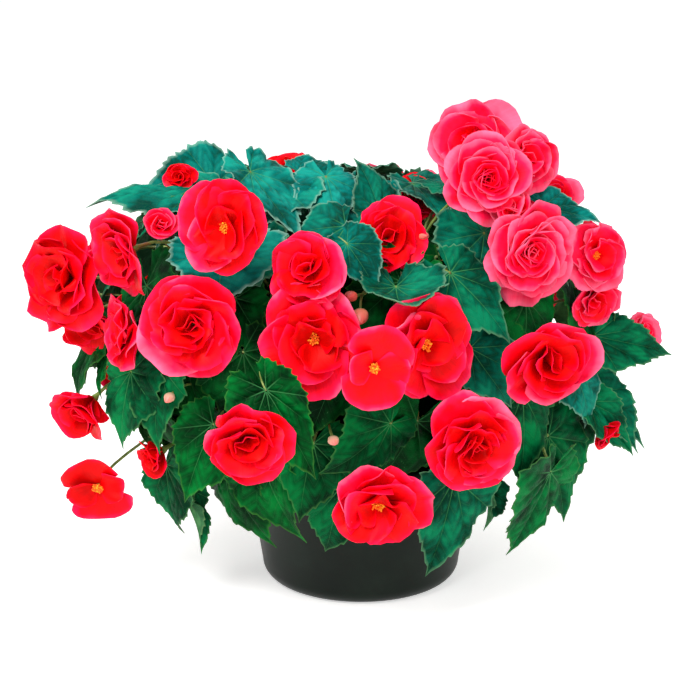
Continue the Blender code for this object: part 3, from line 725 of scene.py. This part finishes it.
def petal_material():
    """Begonia petal, grown: scarlet in the heart, rose to coral pink at the rim, satin and soft.

    Paler pink patches of 21 mm are painted highlights, and fine ribs run out to its edge.
    """
    made, tree, shader = new_material("begonia_petal")
    mark = add(tree, "ShaderNodeAttribute", attribute_name="mark")
    tint = add(tree, "ShaderNodeAttribute", attribute_name="tint")
    part = add(tree, "ShaderNodeSeparateXYZ", {0: mark.outputs["Vector"]})
    along, across, reach = part.outputs
    place = add(tree, "ShaderNodeNewGeometry").outputs["Position"]
    cloud = add(tree, "ShaderNodeTexNoise", {"Vector": place, "Scale": every(21), "Detail": 2.0})
    # Painted highlights: soft paler pink patches of 21 mm laid into the colour.
    painted_highlight_patches = add(tree, "ShaderNodeMath", {0: cloud.outputs["Fac"], 1: 0.70, 2: -0.35},
                operation="MULTIPLY_ADD")
    paler = add(tree, "ShaderNodeMath", {0: tint.outputs["Fac"], 1: 0.38, 2: painted_highlight_patches.outputs[0]},
                operation="MULTIPLY_ADD")
    heart = add(tree, "ShaderNodeMapRange", {0: reach, 1: 0.25, 2: 1.1, 3: 0.0, 4: 0.36})
    aside = add(tree, "ShaderNodeMath", {0: across}, operation="ABSOLUTE")
    outward = add(tree, "ShaderNodeMath", {0: along, 1: aside.outputs[0]}, operation="MAXIMUM")
    rim = add(tree, "ShaderNodeMapRange", {0: outward.outputs[0], 1: 0.80, 2: 1.0, 3: 0.0, 4: 0.30})
    outer = add(tree, "ShaderNodeMath", {0: heart.outputs[0], 1: rim.outputs[0]})
    level = add(tree, "ShaderNodeMath", {0: outer.outputs[0], 1: paler.outputs[0]})
    colour = add(tree, "ShaderNodeValToRGB", {0: level.outputs[0]}, stops=[
        (0.00, "#C40000"), (0.20, "#E60006"), (0.42, "#F60022"), (0.66, "#FF144C"), (1.00, "#FF668A")])
    fan = add(tree, "ShaderNodeMath", {0: across, 1: 0.5 * PETAL_RIB_RUN_MM / PETAL_RIB_MM},
              operation="MULTIPLY")
    stretch = add(tree, "ShaderNodeCombineXYZ", {0: fan.outputs[0], 1: along, 2: tint.outputs["Fac"]})
    rib = add(tree, "ShaderNodeTexNoise", {
        "Vector": stretch.outputs[0], "Scale": PETAL_LENGTH_MM / PETAL_RIB_RUN_MM, "Detail": 4.0})
    rib_tone = add(tree, "ShaderNodeMapRange", {0: rib.outputs["Fac"], 1: 0.35, 2: 0.65, 3: 0.93, 4: 1.04})
    toned = add(tree, "ShaderNodeHueSaturation", {"Color": colour.outputs[0], "Value": rib_tone.outputs[0]})
    tree.links.new(toned.outputs[0], shader.inputs["Base Color"])
    rough = add(tree, "ShaderNodeMapRange", {0: cloud.outputs["Fac"], 1: 0.3, 2: 0.7, 3: 0.42, 4: 0.60})
    tree.links.new(rough.outputs[0], shader.inputs["Roughness"])
    bump = add(tree, "ShaderNodeBump", {"Height": rib.outputs["Fac"], "Strength": 0.3, "Distance": 0.0008})
    tree.links.new(bump.outputs[0], shader.inputs["Normal"])
    shader.inputs["Specular IOR Level"].default_value = 0.12
    shader.inputs["IOR"].default_value = 1.4
    return made


# Leaf colours: shaded, middling and lit green; the same in teal, a painted reflection of the sky
# on upward leaves; the veins; and the toothed edge on green leaves and on the teal ones.
UPPER_COLOURS = ("#00260C", "#004619", "#006C2A", "#00473E", "#00706A", "#149084",
                 "#4A9A58", "#3E7A30", "#9CC4B4")
UNDER_COLOURS = ("#2C5A34", "#3F7A44", "#5E9455", "#3C7A6A", "#4F9080", "#78AA98",
                 "#8A5A48", "#6A8A50", "#8FBBA6")


# Leaves are about 100 mm long, and the net of small veins on them has cells of 2.4 mm.
LEAF_LENGTH_MM = 100
LEAF_NET_MM = 2.4


def leaf_material(name, colours):
    """Begonia leaf, grown: waxy blade, sunken veins paler near the stalk, pale toothed edge.

    Light and dark green drift in patches of 31 mm, and the net of veins quilts the blade.
    Above 0 the tint mixes in teal, a painted reflection of the sky; below 0 it darkens the blade
    with painted shade. The pleats and the grooves beside the main veins carry painted shade too.
    """
    shaded, middling, lit, teal_shaded, teal_middling, teal_lit, vein, edge, sky_teal_edge = colours
    made, tree, shader = new_material(name)
    mark = add(tree, "ShaderNodeAttribute", attribute_name="mark")
    tint = add(tree, "ShaderNodeAttribute", attribute_name="tint").outputs["Fac"]
    part = add(tree, "ShaderNodeSeparateXYZ", {0: mark.outputs["Vector"]})
    along, off, share = part.outputs
    place = add(tree, "ShaderNodeNewGeometry").outputs["Position"]
    cloud = add(tree, "ShaderNodeTexNoise", {"Vector": place, "Scale": every(31), "Detail": 4.0})
    slant = add(tree, "ShaderNodeMath", {0: off, 1: -RIB_SLANT, 2: along}, operation="MULTIPLY_ADD")
    count = add(tree, "ShaderNodeMath", {0: slant.outputs[0], 1: 1 / RIB_SPACING}, operation="MULTIPLY")
    folded = add(tree, "ShaderNodeMath", {0: count.outputs[0]}, operation="FRACT")
    apart = add(tree, "ShaderNodeMath", {0: folded.outputs[0], 1: 0.5}, operation="PINGPONG")
    # Painted shade: bands across the pleats between side veins, and darker grooves by the main veins.
    painted_pleat_shade = add(tree, "ShaderNodeMapRange", {0: apart.outputs[0], 1: 0.0, 2: 0.45, 3: -0.04, 4: 0.04})
    clear = add(tree, "ShaderNodeMapRange", {0: off, 1: 0.0, 2: 0.06, 3: -0.06, 4: 0.01})
    painted_relief_shade = add(tree, "ShaderNodeMath", {0: painted_pleat_shade.outputs[0], 1: clear.outputs[0]})
    depth = add(tree, "ShaderNodeMath", {0: painted_relief_shade.outputs[0], 1: cloud.outputs["Fac"]})
    green = add(tree, "ShaderNodeValToRGB", {0: depth.outputs[0]}, stops=[
        (0.34, shaded), (0.48, middling), (0.64, lit)])
    teal = add(tree, "ShaderNodeValToRGB", {0: depth.outputs[0]}, stops=[
        (0.36, teal_shaded), (0.50, teal_middling), (0.66, teal_lit)])
    # The tint mixes in teal, a painted reflection of the sky on the upward leaves.
    painted_sky_teal = add(tree, "ShaderNodeMix", {"Factor": tint, "A": green.outputs[0], "B": teal.outputs[0]},
                data_type="RGBA")
    width = add(tree, "ShaderNodeMapRange", {0: along, 1: 0.0, 2: 0.9, 3: 0.013, 4: 0.004})
    main = add(tree, "ShaderNodeMapRange", {0: off, 1: 0.0, 2: width.outputs[0], 3: 0.65, 4: 0.0},
               interpolation_type="SMOOTHSTEP")
    side = add(tree, "ShaderNodeMapRange", {0: apart.outputs[0], 1: 0.0, 2: 0.07, 3: 0.18, 4: 0.0},
               interpolation_type="SMOOTHSTEP")
    veins = add(tree, "ShaderNodeMath", {0: main.outputs[0], 1: side.outputs[0]}, operation="MAXIMUM")
    fade = add(tree, "ShaderNodeMapRange", {0: share, 1: 0.1, 2: 1.0, 3: 0.95, 4: 0.30})
    strength = add(tree, "ShaderNodeMath", {0: veins.outputs[0], 1: fade.outputs[0]}, operation="MULTIPLY")
    veined = add(tree, "ShaderNodeMix",
                 {"Factor": strength.outputs[0], "A": painted_sky_teal.outputs["Result"], "B": linear(vein)},
                 data_type="RGBA")
    # The tint also makes the edge pale teal on leaves with the painted sky reflection.
    edging = add(tree, "ShaderNodeMix", {"Factor": tint, "A": linear(edge), "B": linear(sky_teal_edge)},
                 data_type="RGBA")
    inner_edge = add(tree, "ShaderNodeMapRange", {0: tint, 1: 0.0, 2: 1.0, 3: 0.955, 4: 0.92})
    margin = add(tree, "ShaderNodeMapRange", {0: share, 1: inner_edge.outputs[0], 2: 1.0, 3: 0.0, 4: 0.6})
    edged = add(tree, "ShaderNodeMix",
                {"Factor": margin.outputs[0], "A": veined.outputs["Result"], "B": edging.outputs["Result"]},
                data_type="RGBA")
    # A tint below 0 darkens the whole blade: painted shade for leaves deep in the mound.
    painted_inner_shade = add(tree, "ShaderNodeMapRange", {0: tint, 1: -1.0, 2: 0.0, 3: 0.25, 4: 1.0})
    toned = add(tree, "ShaderNodeHueSaturation", {"Color": edged.outputs["Result"], "Value": painted_inner_shade.outputs[0]})
    tree.links.new(toned.outputs[0], shader.inputs["Base Color"])
    rough = add(tree, "ShaderNodeMapRange", {0: cloud.outputs["Fac"], 1: 0.3, 2: 0.7, 3: 0.40, 4: 0.55})
    tree.links.new(rough.outputs[0], shader.inputs["Roughness"])
    net_place = add(tree, "ShaderNodeCombineXYZ", {0: along, 1: off, 2: 0.0})
    net = add(tree, "ShaderNodeTexVoronoi",
              {"Vector": net_place.outputs[0], "Scale": LEAF_LENGTH_MM / LEAF_NET_MM},
              feature="DISTANCE_TO_EDGE")
    hollow = add(tree, "ShaderNodeMapRange", {0: net.outputs["Distance"], 1: 0.0, 2: 0.12, 3: 0.0, 4: 0.35})
    relief = add(tree, "ShaderNodeMath", {0: veins.outputs[0], 1: -1.0, 2: hollow.outputs[0]},
                 operation="MULTIPLY_ADD")
    bump = add(tree, "ShaderNodeBump", {"Height": relief.outputs[0], "Strength": 0.45, "Distance": 0.0012})
    tree.links.new(bump.outputs[0], shader.inputs["Normal"])
    shader.inputs["Specular IOR Level"].default_value = 0.04
    shader.inputs["IOR"].default_value = 1.45
    return made


def stalk_material():
    """Begonia stalk, grown: juicy pale green skin flushed brown-red in patches, slightly glossy.

    Its hairs are really about 0.3 mm apart and are drawn at 1.1 mm, or they wouldn't show.
    """
    made, tree, shader = new_material("begonia_stalk")
    place = add(tree, "ShaderNodeNewGeometry").outputs["Position"]
    cloud = add(tree, "ShaderNodeTexNoise", {"Vector": place, "Scale": every(17), "Detail": 5.0})
    colour = add(tree, "ShaderNodeValToRGB", {0: cloud.outputs["Fac"]}, stops=[
        (0.32, "#7A4A28"), (0.50, "#6E8A3C"), (0.68, "#A8B868")])
    tree.links.new(colour.outputs[0], shader.inputs["Base Color"])
    rough = add(tree, "ShaderNodeMapRange", {0: cloud.outputs["Fac"], 1: 0.3, 2: 0.7, 3: 0.35, 4: 0.55})
    tree.links.new(rough.outputs[0], shader.inputs["Roughness"])
    fuzz = add(tree, "ShaderNodeTexNoise", {"Vector": place, "Scale": every(1.1), "Detail": 2.0})
    bump = add(tree, "ShaderNodeBump", {"Height": fuzz.outputs["Fac"], "Strength": 0.3, "Distance": 0.0004})
    tree.links.new(bump.outputs[0], shader.inputs["Normal"])
    return made


def stamen_material():
    """Pollen-covered stamen heads: powdery orange-yellow with no gloss."""
    made, tree, shader = new_material("pollen_stamen")
    tint = add(tree, "ShaderNodeAttribute", attribute_name="tint")
    colour = add(tree, "ShaderNodeValToRGB", {0: tint.outputs["Fac"]}, stops=[
        (0.0, "#FF5A10"), (0.5, "#FF8A14"), (1.0, "#FFC028")])
    tree.links.new(colour.outputs[0], shader.inputs["Base Color"])
    shader.inputs["Roughness"].default_value = 0.85
    return made


def bud_material():
    """Unopened bud: waxy petal backs, peach to cream with a rose flush at the point."""
    made, tree, shader = new_material("begonia_bud")
    mark = add(tree, "ShaderNodeAttribute", attribute_name="mark")
    tint = add(tree, "ShaderNodeAttribute", attribute_name="tint")
    part = add(tree, "ShaderNodeSeparateXYZ", {0: mark.outputs["Vector"]})
    warm = add(tree, "ShaderNodeValToRGB", {0: part.outputs[0]}, stops=[
        (0.0, "#8A8A48"), (0.35, "#E04A38"), (1.0, "#C81428")])
    cream = add(tree, "ShaderNodeValToRGB", {0: part.outputs[0]}, stops=[
        (0.0, "#98A870"), (0.5, "#E8B498"), (1.0, "#F07068")])
    mix = add(tree, "ShaderNodeMix",
              {"Factor": tint.outputs["Fac"], "A": warm.outputs[0], "B": cream.outputs[0]},
              data_type="RGBA")
    tree.links.new(mix.outputs["Result"], shader.inputs["Base Color"])
    shader.inputs["Roughness"].default_value = 0.4
    return made


def pot_material():
    """Injection-moulded polypropylene: near-black green, satin, scuffed and dusty in patches.

    The mould's grain is really about 0.2 mm and is drawn at 1.4 mm, or it wouldn't show.
    """
    made, tree, shader = new_material("moulded_polypropylene")
    place = add(tree, "ShaderNodeNewGeometry").outputs["Position"]
    cloud = add(tree, "ShaderNodeTexNoise",
                {"Vector": place, "Scale": every(55), "Detail": 6.0, "Roughness": 0.65})
    colour = add(tree, "ShaderNodeValToRGB", {0: cloud.outputs["Fac"]}, stops=[
        (0.35, "#08110B"), (0.55, "#0D1710"), (0.80, "#18231C")])
    tree.links.new(colour.outputs[0], shader.inputs["Base Color"])
    rough = add(tree, "ShaderNodeMapRange", {0: cloud.outputs["Fac"], 1: 0.3, 2: 0.75, 3: 0.34, 4: 0.52})
    tree.links.new(rough.outputs[0], shader.inputs["Roughness"])
    grain = add(tree, "ShaderNodeTexNoise", {"Vector": place, "Scale": every(1.4), "Detail": 2.0})
    bump = add(tree, "ShaderNodeBump",
               {"Height": grain.outputs["Fac"], "Strength": 0.12, "Distance": 0.0004})
    tree.links.new(bump.outputs[0], shader.inputs["Normal"])
    shader.inputs["IOR"].default_value = 1.49
    shader.inputs["Specular IOR Level"].default_value = 0.14
    return made


def compost_material():
    """Damp peat-free compost, sieved: dark brown 3 mm crumbs and paler 4 mm fibres, no gloss."""
    made, tree, shader = new_material("peat_free_compost")
    place = add(tree, "ShaderNodeNewGeometry").outputs["Position"]
    crumb = add(tree, "ShaderNodeTexVoronoi", {"Vector": place, "Scale": every(3)})
    cloud = add(tree, "ShaderNodeTexNoise", {"Vector": place, "Scale": every(4), "Detail": 6.0})
    colour = add(tree, "ShaderNodeValToRGB", {0: cloud.outputs["Fac"]}, stops=[
        (0.30, "#140C07"), (0.50, "#2C1C11"), (0.72, "#5A4128")])
    tree.links.new(colour.outputs[0], shader.inputs["Base Color"])
    bump = add(tree, "ShaderNodeBump",
               {"Height": crumb.outputs["Distance"], "Strength": 0.9, "Distance": 0.003})
    tree.links.new(bump.outputs[0], shader.inputs["Normal"])
    shader.inputs["Roughness"].default_value = 0.95
    return made


def tuber_material():
    """Tuber skin, grown: corky brown, cracked every 6 mm or so, no gloss."""
    made, tree, shader = new_material("corky_tuber")
    place = add(tree, "ShaderNodeNewGeometry").outputs["Position"]
    cloud = add(tree, "ShaderNodeTexNoise", {"Vector": place, "Scale": every(6), "Detail": 6.0})
    colour = add(tree, "ShaderNodeValToRGB", {0: cloud.outputs["Fac"]}, stops=[
        (0.3, "#3A2614"), (0.6, "#6B4A2B")])
    tree.links.new(colour.outputs[0], shader.inputs["Base Color"])
    bump = add(tree, "ShaderNodeBump", {"Height": cloud.outputs["Fac"], "Strength": 0.8, "Distance": 0.002})
    tree.links.new(bump.outputs[0], shader.inputs["Normal"])
    shader.inputs["Roughness"].default_value = 0.8
    return made


def floor_material():
    """Matt acrylic light table, near white and faintly lit, as packshots are taken on."""
    made, _, shader = new_material("studio_floor")
    shader.inputs["Base Color"].default_value = linear("#F4F4F2")
    shader.inputs["Emission Color"].default_value = grey(1)
    shader.inputs["Emission Strength"].default_value = 0.52
    shader.inputs["Roughness"].default_value = 0.9
    shader.inputs["Specular IOR Level"].default_value = 0.1
    return made


PETAL = petal_material()
LEAF_TOP = leaf_material("begonia_leaf_upper", UPPER_COLOURS)
LEAF_UNDER = leaf_material("begonia_leaf_under", UNDER_COLOURS)
STALK = stalk_material()
STAMEN = stamen_material()
BUD = bud_material()
LEAF_LOOKS = [LEAF_TOP, LEAF_UNDER, STALK]
FLOWER_LOOKS = [PETAL, STALK, STAMEN]


# ---------------------------------------------------------------- the plant

def build_stems():
    """Fleshy stems that swell at each node. Returns the seats along them for the stalks."""
    lines = []
    for name, tip in STEMS.items():
        circle = 0 if name == MIDDLE_STEM else STEM_FOOT_CIRCLE
        lines.append(stem_line(tip, circle))
        fine = stem_line(tip, circle, STEM_FINE_POINTS)
        swell = [1 + 0.10 * math.cos(i * 1.1) ** 6 for i in range(STEM_FINE_POINTS)]
        radii = [0.96 * stem_radius(i / (len(fine) - 1)) * s for i, s in enumerate(swell)]
        radii[-2:] = [0.8 * radii[-1], 0.4 * radii[-1]]
        shape = Shape()
        add_tube(shape, fine, radii, 0, 0, 12)
        made = shape.piece(name + "_fleshy", [STALK])
        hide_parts(name)
    return seats(lines)


def build_leaves(places):
    """The leaves that stand for solids of their own."""
    for name, (joint, tip, hand, tint, droop) in LEAVES.items():
        luck = random.Random(name)
        shape = Shape()
        add_leaf(shape, joint, tip, hand, tint, droop, places, luck, **HABITS.get(name, {}))
        made = shape.piece(name + "_blade", LEAF_LOOKS)
        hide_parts(name)


def build_more_leaves(places):
    """The further leaves, which share seats with the others."""
    for name, (joint, tip, hand, tint, droop) in MORE_LEAVES.items():
        luck = random.Random(name)
        shape = Shape()
        habit = HABITS.get(name, {})
        add_leaf(shape, joint, tip, hand, tint, droop, places, luck, False, **habit)
        shape.piece(name, LEAF_LOOKS)


def build_flowers(places):
    """The flowers that stand for solids of their own."""
    for name, (middle, facing, width, tall, form, pale) in FLOWERS.items():
        luck = random.Random(name)
        shape = Shape()
        add_flower(shape, middle, facing, width, tall, form, pale, places, luck)
        made = shape.piece(name + "_petals", FLOWER_LOOKS)
        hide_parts(name)


def build_more_flowers(places):
    """The further flowers, which share seats with the others."""
    for name, (middle, facing, width, tall, form, pale) in MORE_FLOWERS.items():
        luck = random.Random(name)
        shape = Shape()
        add_flower(shape, middle, facing, width, tall, form, pale, places, luck, take=False)
        shape.piece(name, FLOWER_LOOKS)


def add_bud(shape, place, length, pale):
    """A flattened bud along +Z: two thick petals, shut face to face, with a seam between them."""
    rings, sides = 14, 20
    t = np.linspace(0, 1, rings)[:, None]
    turn = np.linspace(0, math.tau, sides, endpoint=False)[None, :]
    girth = 0.40 * length * np.sin(math.pi * np.clip(t, 0.02, 0.99) ** 0.72) ** 0.75
    seam = 1 - 0.10 * np.abs(np.cos(turn)) ** 10
    grid = np.stack([girth * np.cos(turn) * seam, 0.74 * girth * np.sin(turn) + 0 * t,
                     length * t + 0 * turn], 2)
    index = np.arange(rings * sides).reshape(rings, sides)
    after = np.roll(index, -1, 1)
    walls = np.stack([index[:-1], after[:-1], after[1:], index[1:]], 2).reshape(-1, 4)
    marks = np.stack([t + 0 * turn, 0 * grid[:, :, 0], 0 * grid[:, :, 0]], 2).reshape(-1, 3)
    base = shape.count
    shape.add(moved(grid.reshape(-1, 3), place), walls, marks, pale)
    shape.faces += [(index[0, ::-1] + base).tolist(), (index[-1] + base).tolist()]
    shape.slots += [0, 0]


def build_buds(places):
    """Buds on thin stalks."""
    for name, (middle, facing, length, pale) in BUDS.items():
        middle, facing = Vector(middle), direction(*facing)
        across = Vector((facing.y, -facing.x, 0)).normalized()
        foot = middle - facing * length / 2
        shape = Shape()
        add_bud(shape, frame_of(foot, across, facing), length, pale)
        line = stalk_line(foot, facing, places, take=False)
        add_tube(shape, line, [BUD_STALK_RADIUS] * len(line), 0, 1, 7)
        shape.piece(name, [BUD, STALK])


# Ring of further leaves: its first azimuth, their count, elevation on the mound, scale of the
# mound, blade length in metres, tint (above 0 a teal painted reflection of the sky, below 0
# painted shade), teeth on each side and rows of faces.
LEAF_RINGS = [
    ("leaves_crown", 10, 7, 72, 0.82, 0.080, 0.6, 15, 16),
    ("leaves_top", 0, 10, 50, 0.87, 0.085, 0.45, 15, 16),
    ("leaves_shoulder", 18, 13, 28, 0.86, 0.095, 0.2, 15, 16),
    ("leaves_waist", 5, 14, 6, 0.85, 0.100, 0.05, 15, 16),
    ("leaves_low", 14, 13, -16, 0.84, 0.098, 0.0, 15, 16),
    ("leaves_skirt", 0, 12, -36, 0.80, 0.090, -0.1, 15, 16),
    ("leaves_inner_top", 20, 6, 68, 0.60, 0.090, -0.5, 8, 10),
    ("leaves_inner_high", 30, 10, 40, 0.62, 0.100, -0.6, 8, 10),
    ("leaves_inner_middle", 12, 12, 5, 0.62, 0.100, -0.7, 8, 10),
    ("leaves_inner_low", 0, 10, -25, 0.60, 0.090, -0.7, 8, 10),
]
FRONT_HALF_ANGLE = 80
FRONT_INSET = 0.91
FRONT_SHADE = 0.4


def build_leaf_rings(places):
    """Leaves all round the mound, each overlapping the next like shingles.

    In front, where most leaves have solids of their own, these stand further in and are darkened with painted
    shade.
    """
    for name, first, count, elevation, scale, length, tint, teeth, rows in LEAF_RINGS:
        luck = random.Random(name)
        shape = Shape()
        for i in range(count):
            azimuth = first + 360 * i / count + luck.uniform(-8, 8)
            from_front = abs((azimuth + 180) % 360 - 180)
            ahead = from_front < FRONT_HALF_ANGLE and elevation < 45
            size = scale * luck.uniform(0.95, 1.04) * (FRONT_INSET if ahead else 1)
            joint = on_mound(azimuth, elevation + luck.uniform(-6, 6), size)
            normal = mound_normal(joint)
            down = Vector((0, 0, -1)) + 0.35 * direction(azimuth, 0)
            down = (down - down.dot(normal) * normal).normalized()
            way = Matrix.Rotation(luck.uniform(-0.7, 0.7), 3, normal) @ down
            reach = length * luck.uniform(0.85, 1.15)
            tip = joint + way * reach - normal * 0.12 * reach
            hand = luck.choice((-1, 1))
            shade = tint + luck.uniform(-0.15, 0.15) - (FRONT_SHADE if ahead else 0)
            droop = luck.uniform(0.5, 1.3)
            add_leaf(shape, joint, tip, hand, shade, droop, places, luck, False, teeth, rows)
        shape.piece(name, LEAF_LOOKS)


def pot_profile():
    """The pot's outline, (radius, height): up the inside, over the rolled rim, down the outside."""
    taper = (POT_RIM_RADIUS - POT_BASE_RADIUS) / POT_HEIGHT
    quarter = np.linspace(0, math.pi / 2, 13)

    def heel(inwards, upwards):
        """The rounded foot, set in from its outer surface, from the wall down to the floor."""
        middle = POT_BASE_RADIUS + taper * POT_FOOT_ROUND - POT_FOOT_ROUND
        across, rise = POT_FOOT_ROUND - inwards, POT_FOOT_ROUND - upwards
        return [(middle + across * math.cos(a), POT_FOOT_ROUND - rise * math.sin(a)) for a in quarter]

    wall_top = POT_HEIGHT - RIM_DEPTH
    flare = POT_RIM_RADIUS + RIM_FLARE
    outer = POT_BASE_RADIUS + taper * wall_top
    lip = RIM_FLARE / 2
    mouth = POT_RIM_RADIUS - POT_WALL
    roll = [(mouth, POT_HEIGHT - RIM_CORNER), (mouth + RIM_CORNER, POT_HEIGHT)]
    roll += [(flare - lip + lip * math.sin(a), POT_HEIGHT - lip + lip * math.cos(a)) for a in quarter]
    roll += [(flare, wall_top + POT_WALL + 0.75 * RIM_CORNER)]
    roll += [(flare - RIM_CORNER, wall_top + 2 * RIM_CORNER)]
    roll += [(outer + 1.25 * RIM_CORNER, wall_top - 0.5 * RIM_CORNER)]
    roll += [(outer, wall_top - 3 * RIM_CORNER)]
    bead = []
    for above, bulge in (
            (BEAD_HALF_HEIGHT, 0), (BEAD_HALF_FLAT, BEAD_BULGE),
            (-BEAD_HALF_FLAT, BEAD_BULGE), (-BEAD_HALF_HEIGHT, 0)):
        height = BEAD_MIDDLE + above
        bead.append((POT_BASE_RADIUS + taper * height + bulge, height))
    inside = heel(POT_WALL, POT_FLOOR)[::-1]
    return [(0.0, POT_FLOOR)] + inside + roll + bead + heel(0, 0) + [(0.0, 0.0)]


def turned_pot():
    """The pot's points and faces, from its outline turned about Z."""
    profile = pot_profile()
    points = []
    for radius, height in profile[1:-1]:
        for i in range(POT_STEPS):
            a = math.tau * i / POT_STEPS
            points.append((radius * math.cos(a), radius * math.sin(a), height))
    points += [(0, 0, POT_FLOOR), (0, 0, 0)]
    inner_pole, outer_pole = len(points) - 2, len(points) - 1
    rings = len(profile) - 2
    last = (rings - 1) * POT_STEPS
    faces = []
    for i in range(POT_STEPS):
        n = (i + 1) % POT_STEPS
        faces.append((inner_pole, i, n))
        for ring in range(rings - 1):
            low, high = ring * POT_STEPS, (ring + 1) * POT_STEPS
            faces.append((low + i, high + i, high + n, low + n))
        faces.append((outer_pole, last + n, last + i))
    return points, faces


def cut_drain_holes(pot):
    """Cuts the holes through the pot's floor, and leaves no modifier behind."""
    cutters = []
    for i in range(DRAIN_HOLES):
        angle = math.tau * (i + 0.5) / DRAIN_HOLES
        spot = (DRAIN_CIRCLE * math.cos(angle), DRAIN_CIRCLE * math.sin(angle), 0)
        bpy.ops.mesh.primitive_cylinder_add(
            vertices=48, radius=DRAIN_RADIUS, depth=4 * POT_FLOOR, location=spot)
        cutters.append(bpy.context.object)
        cut = pot.modifiers.new("drain", "BOOLEAN")
        cut.operation = "DIFFERENCE"
        cut.object = cutters[-1]
    graph = bpy.context.evaluated_depsgraph_get()
    pot.data = bpy.data.meshes.new_from_object(pot.evaluated_get(graph))
    pot.modifiers.clear()
    for cutter in cutters:
        bpy.data.objects.remove(cutter, do_unlink=True)


def build_pot():
    """The pot, and the looks of the compost and the tuber in it."""
    points, faces = turned_pot()
    mesh = bpy.data.meshes.new("pot_turned")
    mesh.from_pydata(points, [], faces)
    mesh.materials.append(pot_material())
    pot = bpy.data.objects.new("pot_turned", mesh)
    bpy.context.scene.collection.objects.link(pot)
    cut_drain_holes(pot)
    pot.data.shade_smooth()
    pot.data.set_sharp_from_angle(angle=POT_SHARP_ANGLE)
    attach(pot, "root")
    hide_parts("pot")
    for name, look in (("compost", compost_material()), ("tuber", tuber_material())):
        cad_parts[name].data.materials.clear()
        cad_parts[name].data.materials.append(look)


# ---------------------------------------------------------------- the studio

CAMERA_TILT = 15
CAMERA_DISTANCE = 1.9
CAMERA_TARGET = Vector((-0.013, 0.0, 0.237))
FIELD_OF_VIEW = 20.8
ROOM_LIGHT = 0.56
FLOOR_HALF_SIDE = 60

# Lamp: its direction from the plant, distance, width and power.
LAMPS = {
    "key": ((-30, 48), 2.2, 1.2, 52),
    "fill": ((40, 25), 2.4, 1.8, 14),
    "back": ((170, 45), 2.4, 1.8, 14),
}


def place_camera():
    """The camera in front, looking a little down on the plant."""
    scene = bpy.context.scene
    scene.view_settings.view_transform = "Standard"
    camera = bpy.data.objects.new("camera", bpy.data.cameras.new("camera"))
    scene.collection.objects.link(camera)
    camera.location = CAMERA_TARGET + direction(0, CAMERA_TILT) * CAMERA_DISTANCE
    camera.rotation_euler = (math.radians(90 - CAMERA_TILT), 0, 0)
    camera.data.angle = math.radians(FIELD_OF_VIEW)
    scene.camera = camera


def light_room():
    """A white backdrop, a softer light from all round, and the lamps."""
    world = bpy.data.worlds.new("studio_white")
    world.use_nodes = True
    tree = world.node_tree
    backdrop = tree.nodes["Background"]
    backdrop.inputs["Color"].default_value = grey(1)
    backdrop.inputs["Strength"].default_value = 1.0
    room = add(tree, "ShaderNodeBackground", {"Color": grey(1), "Strength": ROOM_LIGHT})
    path = add(tree, "ShaderNodeLightPath")
    both = add(tree, "ShaderNodeMixShader",
               {0: path.outputs["Is Camera Ray"], 1: room.outputs[0], 2: backdrop.outputs[0]})
    tree.links.new(both.outputs[0], tree.nodes["World Output"].inputs["Surface"])
    bpy.context.scene.world = world
    for name, (way, distance, size, power) in LAMPS.items():
        spot = direction(*way) * distance
        light = bpy.data.lights.new(name, "AREA")
        light.shape = "DISK"
        light.size = size
        light.energy = power
        lamp = bpy.data.objects.new(name, light)
        lamp.location = MOUND_CENTRE + spot
        lamp.rotation_euler = (-spot).to_track_quat("-Z", "Y").to_euler()
        bpy.context.scene.collection.objects.link(lamp)


def lay_floor():
    """One wide flat square that the pot stands on."""
    side = FLOOR_HALF_SIDE
    corners = [(-side, -side, 0), (side, -side, 0), (side, side, 0), (-side, side, 0)]
    mesh = bpy.data.meshes.new("floor")
    mesh.from_pydata(corners, [], [(0, 1, 2, 3)])
    mesh.materials.append(floor_material())
    floor = bpy.data.objects.new("floor", mesh)
    bpy.context.scene.collection.objects.link(floor)


place_camera()
light_room()
lay_floor()
build_pot()
free_seats = build_stems()
build_leaves(free_seats)
build_flowers(free_seats)
build_more_leaves(free_seats)
build_more_flowers(free_seats)
build_buds(free_seats)
build_leaf_rings(free_seats)
